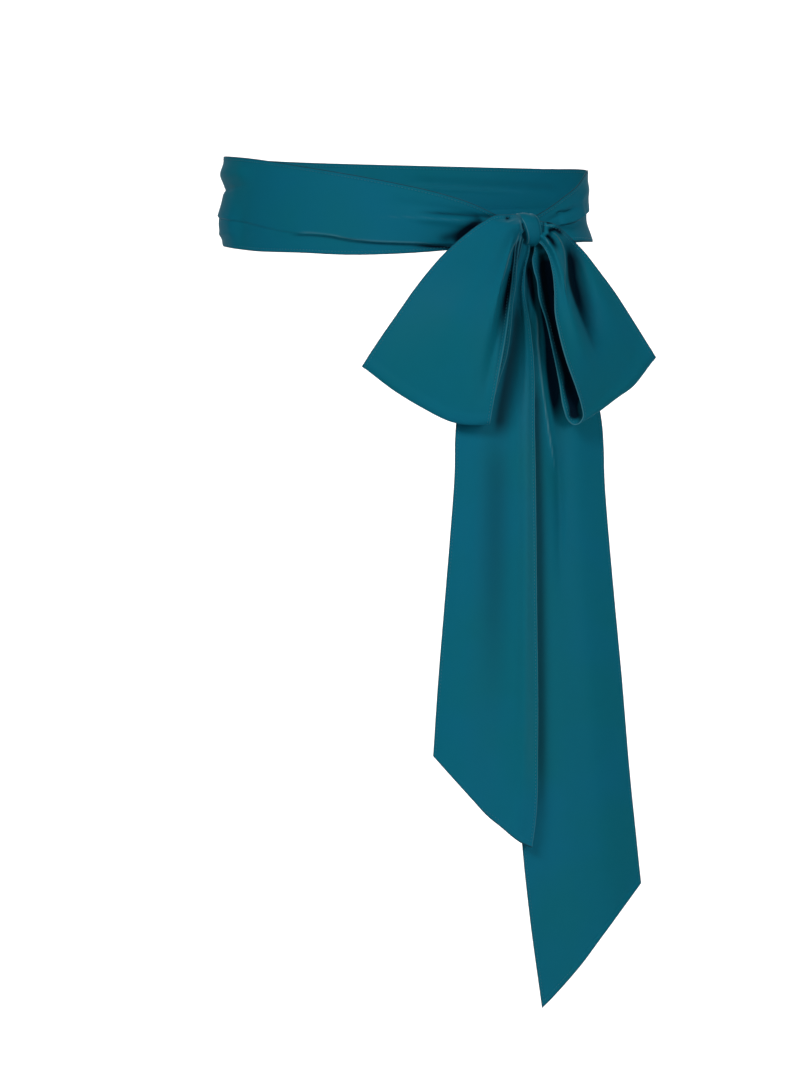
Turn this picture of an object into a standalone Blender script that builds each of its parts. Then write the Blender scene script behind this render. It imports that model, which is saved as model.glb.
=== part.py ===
"""A worn sash with a bow: a pleated waist band, a knot, two hollow loops and two tails with slanted ends.
Each stretch but the knot is one wall of cloth.

Lengths are in millimetres until the mesh is made. +Z is up and -Y is the front. The origin is the middle of
the waist opening. A point of the bow is given by x, z and d, its distance in front of a flared waist form.
"""

import bpy
import numpy as np

MM = 0.001

# Cloth and form
WALL = 1.2
KNOT_GAP = 0.35
TEAL = (0.008, 0.110, 0.170)
# Height of the tallest crease for a half width of 1, which grows with the square of the half width
STEEPEST = 0.55
FORM_HALF_BREADTH = 131.0
FORM_HALF_DEPTH = 94.0
FORM_FLARE = 80.0
FLARE_TOP = -28.0
FLARE_REACH = 250.0
BAND_HALF_BREADTH = 127.4
BAND_HALF_DEPTH = 91.6

# Knot: middle, the way it faces, its reach from the middle, and how each end plane slants as it goes out
# and up
KNOT_MIDDLE = (83.0, -82.4, -17.5)
KNOT_TURN = np.radians(28.5)
KNOT_FRONT = 8.6
KNOT_BACK = 10.6
KNOT_HALF_HEIGHT = 11.6
KNOT_LEFT = -4.9
KNOT_LEFT_SLANT = (0.21, -0.34)
KNOT_RIGHT = 9.4
KNOT_RIGHT_SLANT = (0.10, -0.12)
KNOT_FULLNESS = 0.42
KNOT_ROUNDNESS = 0.86
KNOT_TAPER = 0.10
KNOT_PLEAT = 0.035
KNOT_PLEAT_WAVE = 6.9
KNOT_PLEAT_TWIST = 0.7

# Waist band: degrees to the right of the front where it leaves the knot, and degrees that it goes round
BAND_START = 36.0
BAND_TURN = 354.0
# Its edges. Columns: degrees round from the knot's left side, bottom edge, top edge
BAND_EDGES = (
    (0, -27.0, -10.5),
    (6, -28.5, -7.5),
    (14, -30.0, 0.0),
    (24, -32.0, 7.2),
    (39, -34.2, 15.0),
    (54, -35.0, 21.2),
    (71, -33.8, 26.7),
    (88, -33.4, 31.0),
    (112, -31.2, 33.2),
    (140, -30.2, 32.0),
    (180, -30.5, 28.5),
    (220, -31.0, 26.0),
    (265, -30.0, 24.0),
    (300, -28.0, 23.4),
    (316, -27.4, 21.5),
    (328, -26.4, 11.6),
    (337, -26.6, 4.6),
    (344, -27.0, -2.0),
    (354, -27.0, -10.5),
)
# Main overlap of the band's pleats: half height of its step, share of height over which the upper pleat sinks
# back, and the share of its stand-out that is left above
BAND_STEP = 1.5
BAND_OVERLAP_REACH = 0.30
BAND_OVERLAP_LEFT = 0.35
# Columns: degrees, height as a share, how far the upper pleat stands out
BAND_OVERLAP = (
    (0, 0.16, 0.6),
    (19, 0.10, 1.6),
    (32, 0.14, 2.2),
    (47, 0.17, 2.4),
    (60, 0.22, 1.5),
    (74, 0.23, 0.7),
    (95, 0.30, 0.9),
    (125, 0.33, 1.5),
    (160, 0.42, 2.1),
    (205, 0.36, 2.3),
    (250, 0.46, 1.9),
    (290, 0.44, 1.6),
    (318, 0.40, 2.3),
    (333, 0.36, 1.7),
    (345, 0.45, 0.6),
    (354, 0.5, 0.2),
)
# Smaller pleats of the band, which fade over some degrees at both ends. Columns: first degree, height there,
# last degree, height there, height of ridge, half width
BAND_PLEAT_FADE = 9.0
BAND_PLEATS = (
    (4, 0.50, 36, 0.52, 1.3, 0.07),
    (2, 0.78, 44, 0.70, -0.9, 0.08),
    (92, 0.84, 146, 0.78, 2.6, 0.09),
    (98, 0.26, 156, 0.24, 4.4, 0.22),
    (104, 0.66, 150, 0.62, -0.9, 0.06),
    (146, 0.74, 206, 0.66, 1.4, 0.07),
    (170, 0.18, 232, 0.14, 1.0, 0.06),
    (214, 0.80, 276, 0.70, 1.3, 0.07),
    (262, 0.22, 306, 0.20, -0.9, 0.07),
    (322, 0.60, 348, 0.66, -1.1, 0.07),
    (300, 0.74, 330, 0.70, 0.8, 0.08),
)
# Where the foot of the band stands out. Columns: first degree, degrees to rise, last degree, degrees to fall
# away, distance, share of height
BAND_FOOT = ((296, 18, 330, 14, 5.0, 0.34),)

# Loops: how far the front layer swells out half way along, the share of that at its outer edge, the share of
# length where the fold starts, and the shares between which a loop opens to its fold
LOOP_SWELL = 9.0
LOOP_SWELL_OUTER = 0.4
LOOP_FOLD_FROM = 0.95
LOOP_OPENED_FROM = 0.72
LOOP_OPENED_AT = 0.98

# Left loop. Columns: x, z, distance in front of the form
LEFT_OUTER_FRONT = (
    (81.0, -9.0, 13.0),
    (76.0, -6.6, 16.5),
    (70.0, -6.9, 18.5),
    (61.8, -7.2, 20.0),
    (51.4, -12.6, 22.0),
    (41.0, -20.2, 23.0),
    (27.0, -32.6, 24.0),
    (9.8, -52.4, 24.5),
    (-6.8, -75.6, 24.0),
    (-23.3, -99.6, 22.5),
    (-30.2, -110.5, 20.5),
)
LEFT_OUTER_BACK = (
    (80.0, -11.0, 9.5),
    (74.0, -9.6, 11.0),
    (63.0, -10.5, 12.5),
    (54.0, -16.0, 14.0),
    (43.0, -24.0, 15.0),
    (29.0, -36.0, 15.5),
    (11.5, -55.0, 15.5),
    (-5.5, -77.0, 16.0),
    (-22.6, -100.2, 17.0),
    (-30.2, -110.5, 18.5),
)
LEFT_INNER_FRONT = (
    (84.0, -16.5, 14.5),
    (79.0, -22.5, 18.0),
    (76.4, -29.0, 20.5),
    (75.6, -38.0, 22.0),
    (73.9, -50.0, 24.0),
    (73.0, -58.5, 25.0),
    (71.4, -72.5, 26.0),
    (68.5, -93.0, 26.5),
    (65.0, -112.0, 26.0),
    (61.4, -130.4, 24.5),
    (57.9, -150.2, 21.0),
)
LEFT_INNER_BACK = (
    (85.5, -19.5, 10.0),
    (82.4, -24.0, 12.0),
    (79.8, -33.0, 13.4),
    (77.7, -42.6, 14.0),
    (76.3, -58.7, 14.6),
    (74.8, -66.8, 15.0),
    (73.1, -84.6, 15.4),
    (70.1, -104.4, 15.8),
    (64.7, -121.0, 16.2),
    (59.4, -140.0, 17.0),
    (57.9, -150.2, 18.0),
)
# How far the fold at its foot lies above a straight line. Columns: share of width, z
LEFT_FOLD_SAG = ((0.0, 0.0), (0.27, -7.0), (0.46, -9.5), (0.72, -10.0), (0.9, -4.8), (1.0, 0.0))
# Half of its opening at the fold, at the outer and at the inner edge, and how much closer its inner columns
# lie
LEFT_FOLD_HALF = (2.6, 3.4)
LEFT_COLUMNS_CLOSER = 1.4

# Right loop. Columns: x, z, distance in front of the form
RIGHT_OUTER_FRONT = (
    (87.0, -9.6, 13.5),
    (94.5, -11.6, 16.0),
    (102.0, -13.0, 19.0),
    (106.3, -15.2, 20.0),
    (112.0, -20.2, 21.0),
    (124.2, -32.2, 22.0),
    (135.0, -46.0, 22.5),
    (145.0, -59.2, 22.5),
    (162.3, -85.4, 21.5),
    (176.8, -108.2, 19.5),
)
RIGHT_OUTER_BACK = (
    (86.5, -11.5, 8.6),
    (95.0, -14.0, 9.6),
    (105.0, -18.5, 10.4),
    (111.0, -24.0, 11.0),
    (122.5, -36.0, 12.0),
    (133.0, -49.5, 13.0),
    (143.0, -62.0, 14.0),
    (161.2, -87.0, 15.5),
    (176.8, -108.2, 17.5),
)
RIGHT_INNER_FRONT = (
    (90.0, -24.0, 13.5),
    (96.0, -29.8, 17.5),
    (98.7, -34.8, 19.0),
    (101.8, -46.8, 21.5),
    (103.0, -59.0, 23.0),
    (103.4, -75.4, 24.0),
    (106.1, -89.4, 24.5),
    (111.3, -108.4, 24.0),
    (118.1, -127.1, 22.5),
    (122.0, -139.6, 20.5),
    (122.8, -146.0, 19.0),
    (119.0, -152.0, 17.5),
)
RIGHT_INNER_BACK = (
    (83.5, -18.5, 8.4),
    (88.6, -26.0, 9.4),
    (89.4, -31.5, 10.8),
    (88.0, -38.0, 12.0),
    (89.0, -45.5, 12.6),
    (91.0, -52.6, 12.8),
    (92.6, -65.5, 13.0),
    (96.9, -78.8, 13.0),
    (102.2, -102.1, 13.0),
    (106.8, -125.4, 13.4),
    (108.8, -138.6, 14.0),
    (111.6, -146.6, 14.6),
    (116.5, -152.2, 15.6),
)
RIGHT_FOLD_SAG = ((0.0, 0.0), (0.1, -2.6), (0.26, -6.6), (0.5, -5.4), (0.75, -3.8), (0.92, -1.5), (1.0, 0.0))
RIGHT_FOLD_HALF = (3.5, 3.2)

# Creases of the loops' front and back layers. Columns: share of width near the knot and near the fold, first
# and last share of length, height (a ridge is positive), half width as a share
LEFT_FRONT_CREASES = (
    (0.50, 0.46, -0.1, 0.95, 7.0, 0.34),
    (0.84, 0.80, -0.05, 0.66, 3.0, 0.07),
    (0.925, 0.91, -0.05, 0.95, -8.0, 0.07),
    (0.22, 0.24, -0.2, 0.22, 1.6, 0.10),
    (0.36, 0.34, -0.2, 0.16, -1.8, 0.07),
    (0.62, 0.60, -0.2, 0.20, -1.0, 0.08),
)
LEFT_BACK_CREASES = (
    (0.35, 0.40, -0.1, 0.80, -2.2, 0.16),
    (0.70, 0.66, -0.1, 0.60, 1.8, 0.10),
)
RIGHT_FRONT_CREASES = (
    (0.30, 0.56, -0.05, 0.80, -8.5, 0.12),
    (0.60, 0.76, -0.05, 0.86, 5.0, 0.13),
    (0.12, 0.18, 0.02, 0.90, 3.0, 0.14),
    (0.86, 0.90, -0.2, 0.25, -1.6, 0.05),
)
RIGHT_BACK_CREASES = (
    (0.30, 0.36, -0.1, 0.70, 1.6, 0.14),
    (0.64, 0.62, -0.1, 0.75, -1.6, 0.12),
)

# Front tail. Columns: x, z, distance in front of the form
FRONT_TAIL_LEFT = (
    (80.5, -25.0, 8.0),
    (77.5, -34.0, 8.4),
    (66.0, -58.0, 8.0),
    (52.0, -90.0, 7.5),
    (40.0, -122.0, 7.5),
    (34.9, -149.0, 8.0),
    (33.4, -188.0, 8.0),
    (30.4, -227.5, 8.0),
    (26.3, -276.5, 8.0),
    (22.2, -326.0, 8.0),
    (18.7, -377.7, 8.5),
)
FRONT_TAIL_RIGHT = (
    (86.5, -25.0, 10.5),
    (86.3, -32.5, 10.8),
    (83.8, -43.0, 10.4),
    (82.6, -58.6, 10.0),
    (86.3, -82.0, 10.0),
    (88.6, -104.0, 10.4),
    (89.5, -155.6, 10.8),
    (90.6, -272.2, 11.0),
    (91.2, -373.1, 11.0),
    (89.8, -423.2, 10.5),
    (87.1, -442.5, 10.0),
)
# How far its cut lies above a straight line. Columns: share of width, z
FRONT_CUT_BOW = ((0.0, 0.0), (0.39, -4.6), (0.54, -6.4), (0.68, -5.4), (0.88, -3.6), (1.0, 0.0))
# Creases of the tails, in the same columns as those of the loops
FRONT_TAIL_CREASES = (
    (0.88, 0.86, -0.05, 1.10, 3.0, 0.07),
    (0.62, 0.60, -0.05, 1.20, -2.2, 0.16),
    (0.28, 0.24, -0.05, 1.20, 1.8, 0.16),
    (0.45, 0.40, -0.3, 0.20, 1.2, 0.08),
)

# Rear tail. Columns: x, z, distance in front of the form
REAR_TAIL_LEFT = (
    (86.0, -24.5, 5.0),
    (83.0, -36.0, 4.0),
    (78.5, -58.0, 3.2),
    (75.0, -90.0, 2.8),
    (73.0, -150.0, 2.6),
    (72.5, -230.0, 2.6),
    (74.0, -320.0, 2.6),
    (77.5, -400.0, 2.8),
    (80.3, -440.3, 3.0),
    (85.9, -493.0, 3.0),
    (94.3, -554.5, 3.5),
)
REAR_TAIL_RIGHT = (
    (92.5, -24.5, 5.5),
    (98.0, -36.0, 4.4),
    (108.0, -58.0, 3.6),
    (121.0, -90.0, 3.0),
    (131.0, -122.0, 3.0),
    (136.9, -149.0, 3.2),
    (139.4, -198.2, 3.6),
    (144.9, -264.8, 4.0),
    (151.2, -332.0, 4.0),
    (156.9, -399.0, 4.0),
    (161.2, -440.0, 4.0),
    (164.9, -474.8, 4.0),
)
REAR_CUT_BOW = ((0.0, 0.0), (0.1, -1.6), (0.22, -2.7), (0.4, -3.3), (0.58, -1.9), (0.8, -0.6), (1.0, 0.0))
REAR_TAIL_CREASES = (
    (0.30, 0.42, -0.05, 0.46, 2.4, 0.07),
    (0.52, 0.50, -0.05, 0.62, -1.8, 0.09),
    (0.74, 0.70, -0.05, 1.20, 1.5, 0.14),
    (0.20, 0.24, 0.45, 1.30, -1.2, 0.16),
)

# How edges, creases and folds are drawn
CREASE_START = 0.12
CREASE_END = 0.4
FOLD_SAG_FROM = 0.45
CUT_BOW_FROM = 0.55
FLANK_SHARE = 0.8

# Mesh density
BAND_COLUMNS = 84
BAND_ROWS_BELOW = (0.0, 0.34, 0.68)
BAND_ROWS_ABOVE = (0.1, 0.22, 0.36, 0.5, 0.64, 0.78, 0.9, 1.0)
LOOP_COLUMNS = 24
LOOP_ROWS = 14
LOOP_ROWS_CLOSER = 1.25
FOLD_ROWS = 5
TAIL_COLUMNS = 16
TAIL_ROWS = 26
TAIL_ROWS_CLOSER = 1.35
KNOT_COLUMNS = 28
KNOT_RINGS = (-78, -64, -50, -34, -12, 12, 34, 50, 64, 78)


def smooth(t):
    """A soft step from 0 at t = 0 to 1 at t = 1."""
    t = np.clip(t, 0.0, 1.0)
    return t * t * (3 - 2 * t)


def through(at, values, t):
    """Cubic curve through values, given at the places at, read at t."""
    at = np.asarray(at, float)
    values = np.asarray(values, float)
    slope = np.gradient(values, at, axis=0)
    k = np.clip(np.searchsorted(at, t, side="right") - 1, 0, len(at) - 2)
    span = at[k + 1] - at[k]
    s = (t - at[k]) / span
    if values.ndim == 2:
        span, s = span[:, None], s[:, None]
    start = (1 + 2 * s) * (1 - s) ** 2 * values[k] + s * (1 - s) ** 2 * span * slope[k]
    return start + s * s * (3 - 2 * s) * values[k + 1] + s * s * (s - 1) * span * slope[k + 1]


def column(table, t, number):
    """One column of a table read at t, where the table's first column says where each row is."""
    rows = np.array(table, float)
    return through(rows[:, 0], rows[:, number], t)


def edge(table, t):
    """Curve through the rows of a table of x, z and d, read at shares t of its length."""
    rows = np.array(table, float)
    steps = np.linalg.norm(np.diff(rows[:, :2], axis=0), axis=1)
    at = np.concatenate([[0.0], np.cumsum(steps)]) / steps.sum()
    return through(at, rows, t)


def form_y(x, z):
    """Front of the flared form, as y for each x and z: an ellipse, its flanks straight past FLANK_SHARE."""
    lean = FORM_FLARE * (1 - np.exp(-np.maximum(0.0, FLARE_TOP - z) / FLARE_REACH))
    share = np.abs(x) / (FORM_HALF_BREADTH + lean)
    flank_rise = np.sqrt(1 - FLANK_SHARE**2)
    flank_slope = FLANK_SHARE / flank_rise
    rise = np.sqrt(1 - np.minimum(share, FLANK_SHARE) ** 2)
    return -(FORM_HALF_DEPTH + lean) * (rise - flank_slope * np.maximum(0.0, share - FLANK_SHARE))


def placed(points):
    """Turns x, z and d into x, y and z."""
    x, z, d = points[..., 0], points[..., 1], points[..., 2]
    return np.stack([x, form_y(x, z) - d, z], axis=-1)


def creases(table, u, v, breadth):
    """Sum of soft ridges and troughs that run from the knot, each fading out at its first and last share.

    Where the cloth is gathered narrow, STEEPEST keeps a crease so low that the wall doesn't cross itself.
    """
    total = np.zeros(np.broadcast(u, v).shape)
    for near, far, first, last, height, half_width in table:
        middle = near + (far - near) * v
        fade = smooth((v - first) / CREASE_START) * (1 - smooth((v - last + CREASE_END) / CREASE_END))
        most = STEEPEST * (half_width * breadth) ** 2
        kept = height * most / (most + abs(height))
        total = total + kept * fade * np.exp(-(((u - middle) / half_width) ** 2))
    return total


def breadth_of(points):
    """Distance between the two edges at each place along, as one row."""
    return np.linalg.norm(points[-1, :, :2] - points[0, :, :2], axis=1)[None, :]


def ruled(left, right, far_end, u, v, bent_from):
    """Surface between two edges. From the share bent_from on, it bends to the drop of its far end."""
    one = edge(left, v)[None, :, :]
    other = edge(right, v)[None, :, :]
    points = one + u[:, None, None] * (other - one)
    bent = smooth((v - bent_from) / (1 - bent_from))
    points[..., 1] += column(far_end, u, 1)[:, None] * bent[None, :]
    return points


def material(name, colour, roughness=0.55):
    made = bpy.data.materials.new(name)
    made.use_nodes = True
    shader = made.node_tree.nodes["Principled BSDF"]
    shader.inputs["Base Color"].default_value = (*colour, 1.0)
    shader.inputs["Roughness"].default_value = roughness
    made.diffuse_color = (*colour, 1.0)
    return made


def mesh_object(name, points, faces):
    """Object with its faces turned outwards and a material of its own."""
    mesh = bpy.data.meshes.new(name)
    mesh.from_pydata((points * MM).tolist(), [], faces)
    mesh.update()
    if sum(face.center.dot(face.normal) * face.area for face in mesh.polygons) < 0:
        mesh.flip_normals()
    mesh.materials.append(material(name + "_cloth", TEAL))
    made = bpy.data.objects.new(name, mesh)
    bpy.context.scene.collection.objects.link(made)
    return made


def grid_faces(rows, columns, first):
    """Quads over a grid of points numbered row by row from first."""
    faces = []
    for i in range(rows - 1):
        for j in range(columns - 1):
            a = first + i * columns + j
            faces.append((a, a + 1, a + columns + 1, a + columns))
    return faces


def cloth_solid(name, middle):
    """Closed wall of cloth round a grid of points, half the wall to each side, with a rim along its sides."""
    rows, columns = middle.shape[:2]
    normal = np.cross(np.gradient(middle, axis=0), np.gradient(middle, axis=1))
    normal /= np.linalg.norm(normal, axis=2, keepdims=True)
    front = (middle + normal * WALL / 2).reshape(-1, 3)
    back = (middle - normal * WALL / 2).reshape(-1, 3)
    half = rows * columns
    faces = [(d, c, b, a) for a, b, c, d in grid_faces(rows, columns, 0)]
    faces += grid_faces(rows, columns, half)
    rim = [j for j in range(columns)]
    rim += [i * columns + columns - 1 for i in range(1, rows)]
    rim += [(rows - 1) * columns + j for j in range(columns - 2, -1, -1)]
    rim += [i * columns for i in range(rows - 2, 0, -1)]
    for a, b in zip(rim, rim[1:] + rim[:1]):
        faces.append((a, b, b + half, a + half))
    return mesh_object(name, np.concatenate([front, back]), faces)


def band_rows(lip, tall):
    """Shares of height where the band's rows lie, closest together at the step of its main overlap."""
    step = BAND_STEP / tall
    below = np.array(BAND_ROWS_BELOW)[None, :] * (lip - step)[:, None]
    at_step = np.stack([lip - step, lip, lip + step], axis=1)
    above = (lip + step)[:, None] + np.array(BAND_ROWS_ABOVE)[None, :] * (1 - lip - step)[:, None]
    return np.concatenate([below, at_step, above], axis=1)


def band_points():
    """Middle of the waist band's cloth: the angle round the waist by the height in its pleated section."""
    turn = np.linspace(0.0, BAND_TURN, BAND_COLUMNS)
    bottom = column(BAND_EDGES, turn, 1)
    tall = column(BAND_EDGES, turn, 2) - bottom
    lip = column(BAND_OVERLAP, turn, 1)
    stand = column(BAND_OVERLAP, turn, 2)
    share = band_rows(lip, tall)
    turned = turn[:, None] + 0 * share
    above_lip = share - lip[:, None]
    step = (BAND_STEP / tall)[:, None]
    over = smooth((above_lip + step) / (2 * step))
    fall = np.exp(-np.maximum(0.0, above_lip) / BAND_OVERLAP_REACH)
    out = 1.0 + stand[:, None] * over * (BAND_OVERLAP_LEFT + (1 - BAND_OVERLAP_LEFT) * fall)
    for first, low, last, high, height, half_width in BAND_PLEATS:
        middle = low + (high - low) * (turned - first) / (last - first)
        fade = smooth((turned - first) / BAND_PLEAT_FADE) * smooth((last - turned) / BAND_PLEAT_FADE)
        out = out + height * fade * np.exp(-(((share - middle) / half_width) ** 2))
    for first, rise, last, fall_away, height, up_to in BAND_FOOT:
        fade = smooth((turned - first) / rise) * (1 - smooth((turned - last) / fall_away))
        out = out + height * fade * smooth((up_to - share) / up_to)
    angle = np.radians(BAND_START - turned)
    direction = np.stack([np.sin(angle) / BAND_HALF_BREADTH, -np.cos(angle) / BAND_HALF_DEPTH], axis=-1)
    direction /= np.linalg.norm(direction, axis=-1, keepdims=True)
    x = BAND_HALF_BREADTH * np.sin(angle) + direction[..., 0] * out
    y = -BAND_HALF_DEPTH * np.cos(angle) + direction[..., 1] * out
    return np.stack([x, y, bottom[:, None] + tall[:, None] * share], axis=-1)


def loop_rows():
    """Shares of length of one layer from the knot to the fold, and how open the loop is there."""
    straight = LOOP_FOLD_FROM * np.linspace(0.0, 1.0, LOOP_ROWS) ** LOOP_ROWS_CLOSER
    bend = np.linspace(0.0, np.pi / 2, FOLD_ROWS + 1)[1:]
    share = np.concatenate([straight, LOOP_FOLD_FROM + (1 - LOOP_FOLD_FROM) * np.sin(bend)])
    gape = np.concatenate([np.ones(LOOP_ROWS), np.cos(bend)])
    return share, gape


def loop_points(front_edges, back_edges, fold_sag, front_creases, back_creases, u, fold_half):
    """Middle of a loop's cloth: back layer out from the knot, round the fold, front layer back again."""
    share, gape = loop_rows()
    front = ruled(*front_edges, fold_sag, u, share, FOLD_SAG_FROM)
    back = ruled(*back_edges, fold_sag, u, share, FOLD_SAG_FROM)
    across, along = u[:, None], share[None, :]
    front[..., 2] += creases(front_creases, across, along, breadth_of(front))
    back[..., 2] += creases(back_creases, across, along, breadth_of(back))
    front[..., 2] += LOOP_SWELL * np.sin(np.pi * along) * (LOOP_SWELL_OUTER + (1 - LOOP_SWELL_OUTER) * across)
    middle = (front + back) / 2
    half = (front - back) / 2
    least = np.array([0.0, 0.0, 1.0]) * (fold_half[0] + (fold_half[1] - fold_half[0]) * u)[:, None, None]
    opened = np.maximum(np.abs(half), least) * np.sign(half + 1e-9)
    near_fold = smooth((along - LOOP_OPENED_FROM) / (LOOP_OPENED_AT - LOOP_OPENED_FROM))[..., None]
    half = (half + (opened - half) * near_fold) * gape[None, :, None]
    return np.concatenate([middle - half, (middle + half)[:, -2::-1, :]], axis=1)


def tail_points(left, right, cut_bow, crease_table):
    """Middle of a tail's cloth, from under the knot to its slanted cut."""
    u = np.linspace(0.0, 1.0, TAIL_COLUMNS)
    v = np.linspace(0.0, 1.0, TAIL_ROWS) ** TAIL_ROWS_CLOSER
    points = ruled(left, right, cut_bow, u, v, CUT_BOW_FROM)
    points[..., 2] += creases(crease_table, u[:, None], v[None, :], breadth_of(points))
    return points


def squared(wave, power):
    """Makes a sine or cosine fuller, which turns a circle into a soft square."""
    return np.sign(wave) * np.abs(wave) ** power


def knot_place(side, up, out):
    """Turns the knot's own directions into x, y and z."""
    cosine, sine = np.cos(KNOT_TURN), np.sin(KNOT_TURN)
    x = KNOT_MIDDLE[0] + side * cosine + out * sine
    y = KNOT_MIDDLE[1] + side * sine - out * cosine
    return np.stack([x, y, KNOT_MIDDLE[2] + up], axis=-1)


def knot_points(extra):
    """Knot as a barrel between two slanted planes: its rings from left to right, and its two tips."""
    beta = np.radians(np.array(KNOT_RINGS, float))
    turn = np.linspace(0.0, 2 * np.pi, KNOT_COLUMNS, endpoint=False)[None, :]
    along = squared(np.sin(beta), KNOT_FULLNESS)[:, None]
    girth = np.cos(beta)[:, None] ** KNOT_FULLNESS * (1 - KNOT_TAPER * along**2)
    girth = girth * (1 + KNOT_PLEAT * np.cos(KNOT_PLEAT_WAVE * along + KNOT_PLEAT_TWIST * np.sin(turn)))
    reach = np.where(np.cos(turn) > 0, KNOT_FRONT, KNOT_BACK) + extra
    out = girth * reach * squared(np.cos(turn), KNOT_ROUNDNESS)
    up = girth * (KNOT_HALF_HEIGHT + extra) * squared(np.sin(turn), KNOT_ROUNDNESS)
    left = KNOT_LEFT + KNOT_LEFT_SLANT[0] * out + KNOT_LEFT_SLANT[1] * up
    right = KNOT_RIGHT + KNOT_RIGHT_SLANT[0] * out + KNOT_RIGHT_SLANT[1] * up
    side = (left + right) / 2 + along * ((right - left) / 2 + extra)
    tips = np.array([KNOT_LEFT - extra, KNOT_RIGHT + extra])
    return knot_place(side, up, out), knot_place(tips, np.zeros(2), np.zeros(2))


def knot_solid(name, extra):
    """Closed barrel of the knot, grown by extra on all sides."""
    rings, tips = knot_points(extra)
    count, around = rings.shape[:2]
    first_tip = count * around
    last_ring = first_tip - around
    faces = []
    for j in range(around):
        k = (j + 1) % around
        for i in range(count - 1):
            faces.append((i * around + j, i * around + k, (i + 1) * around + k, (i + 1) * around + j))
        faces.append((first_tip, k, j))
        faces.append((first_tip + 1, last_ring + j, last_ring + k))
    return mesh_object(name, np.concatenate([rings.reshape(-1, 3), tips]), faces)


def cut_at_knot(piece, cutter):
    """Ends a piece a little short of the knot."""
    cut = piece.modifiers.new("clear_of_knot", "BOOLEAN")
    cut.operation = "DIFFERENCE"
    cut.solver = "EXACT"
    cut.object = cutter


def left_loop():
    u = 1 - (1 - np.linspace(0.0, 1.0, LOOP_COLUMNS)) ** LEFT_COLUMNS_CLOSER
    front = (LEFT_OUTER_FRONT, LEFT_INNER_FRONT)
    back = (LEFT_OUTER_BACK, LEFT_INNER_BACK)
    crease_tables = (LEFT_FRONT_CREASES, LEFT_BACK_CREASES)
    points = loop_points(front, back, LEFT_FOLD_SAG, *crease_tables, u, LEFT_FOLD_HALF)
    return cloth_solid("left_loop", placed(points))


def right_loop():
    u = np.linspace(0.0, 1.0, LOOP_COLUMNS)
    front = (RIGHT_OUTER_FRONT, RIGHT_INNER_FRONT)
    back = (RIGHT_OUTER_BACK, RIGHT_INNER_BACK)
    crease_tables = (RIGHT_FRONT_CREASES, RIGHT_BACK_CREASES)
    points = loop_points(front, back, RIGHT_FOLD_SAG, *crease_tables, u, RIGHT_FOLD_HALF)
    return cloth_solid("right_loop", placed(points))


def front_tail():
    points = tail_points(FRONT_TAIL_LEFT, FRONT_TAIL_RIGHT, FRONT_CUT_BOW, FRONT_TAIL_CREASES)
    return cloth_solid("front_tail", placed(points))


def rear_tail():
    points = tail_points(REAR_TAIL_LEFT, REAR_TAIL_RIGHT, REAR_CUT_BOW, REAR_TAIL_CREASES)
    return cloth_solid("rear_tail", placed(points))


def main():
    for old in list(bpy.data.objects):
        bpy.data.objects.remove(old, do_unlink=True)
    pieces = [cloth_solid("waist_band", band_points()), left_loop(), right_loop(), front_tail(), rear_tail()]
    knot_solid("knot", 0.0)
    cutter = knot_solid("knot_cutter", KNOT_GAP)
    cutter.hide_render = True
    cutter.display_type = "WIRE"
    for piece in pieces:
        cut_at_knot(piece, cutter)


main()
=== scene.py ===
"""A worn sash with a bow in smooth teal cloth: its shells, hems, stitches and finish, a studio and a camera.

Every stretch of cloth is a thin shell on the form of its solid, with the finer creases, a narrow stitched
hem along each edge and a soft satin finish. Lengths are in millimetres until a mesh is made. +Z is up and
-Y is the front. A point of the bow is given by x, z and d, its distance in front of a flared waist form.
"""

import bpy
import numpy as np
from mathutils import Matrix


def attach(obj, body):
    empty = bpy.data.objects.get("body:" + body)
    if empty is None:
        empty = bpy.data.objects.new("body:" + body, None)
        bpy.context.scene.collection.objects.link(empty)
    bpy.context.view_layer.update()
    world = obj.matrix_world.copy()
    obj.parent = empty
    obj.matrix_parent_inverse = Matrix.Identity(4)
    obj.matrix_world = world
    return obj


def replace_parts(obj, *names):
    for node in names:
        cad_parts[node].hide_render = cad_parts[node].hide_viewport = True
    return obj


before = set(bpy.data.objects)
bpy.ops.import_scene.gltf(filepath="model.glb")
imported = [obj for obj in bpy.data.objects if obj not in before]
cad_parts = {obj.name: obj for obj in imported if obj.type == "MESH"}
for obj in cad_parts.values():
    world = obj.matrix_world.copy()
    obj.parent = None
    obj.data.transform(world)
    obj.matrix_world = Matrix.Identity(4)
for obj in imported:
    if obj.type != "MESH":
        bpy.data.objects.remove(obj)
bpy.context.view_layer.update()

MM = 0.001
BODY = "root"

# Cloth: two layers sewn together, and a narrow hem along each edge, which ends in a round lip and keeps at
# least a share of its thickness there
SHEET = 0.5
HEM_THICK = 0.85
HEM_WIDTH = 2.9
HEM_DROP = 0.5
HEM_LIP = 0.45
LIP_LEAST = 0.06
# Distances from an edge at which a shell has a column of points, and the breadth under which they are closer
HEM_STEPS = (0, 0.08, 0.22, 0.45, 0.9, 1.6, 2.3, 2.6, 2.9, 3.3)
HEM_GATHERED = 16

# Painted shade on the lips at the outlines, painted highlight on those at the edges of folds, the share of
# painted highlight that every lip has, and the distances from the edge between which both fade out
OUTLINE_PAINTED_SHADE = -0.8
FOLD_PAINTED_HIGHLIGHT = 0.45
LIP_PAINTED_HIGHLIGHT = 0.25
LIP_TONED = (0.2, 0.9)
# Painted shade and highlight of folds lie on the side of the cloth that faces the front: the share left on
# the other side, and how far a surface is turned to either side where they fade, as a sine
TONE_BEHIND = 0.1
TONE_TURNED = 0.3

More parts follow.
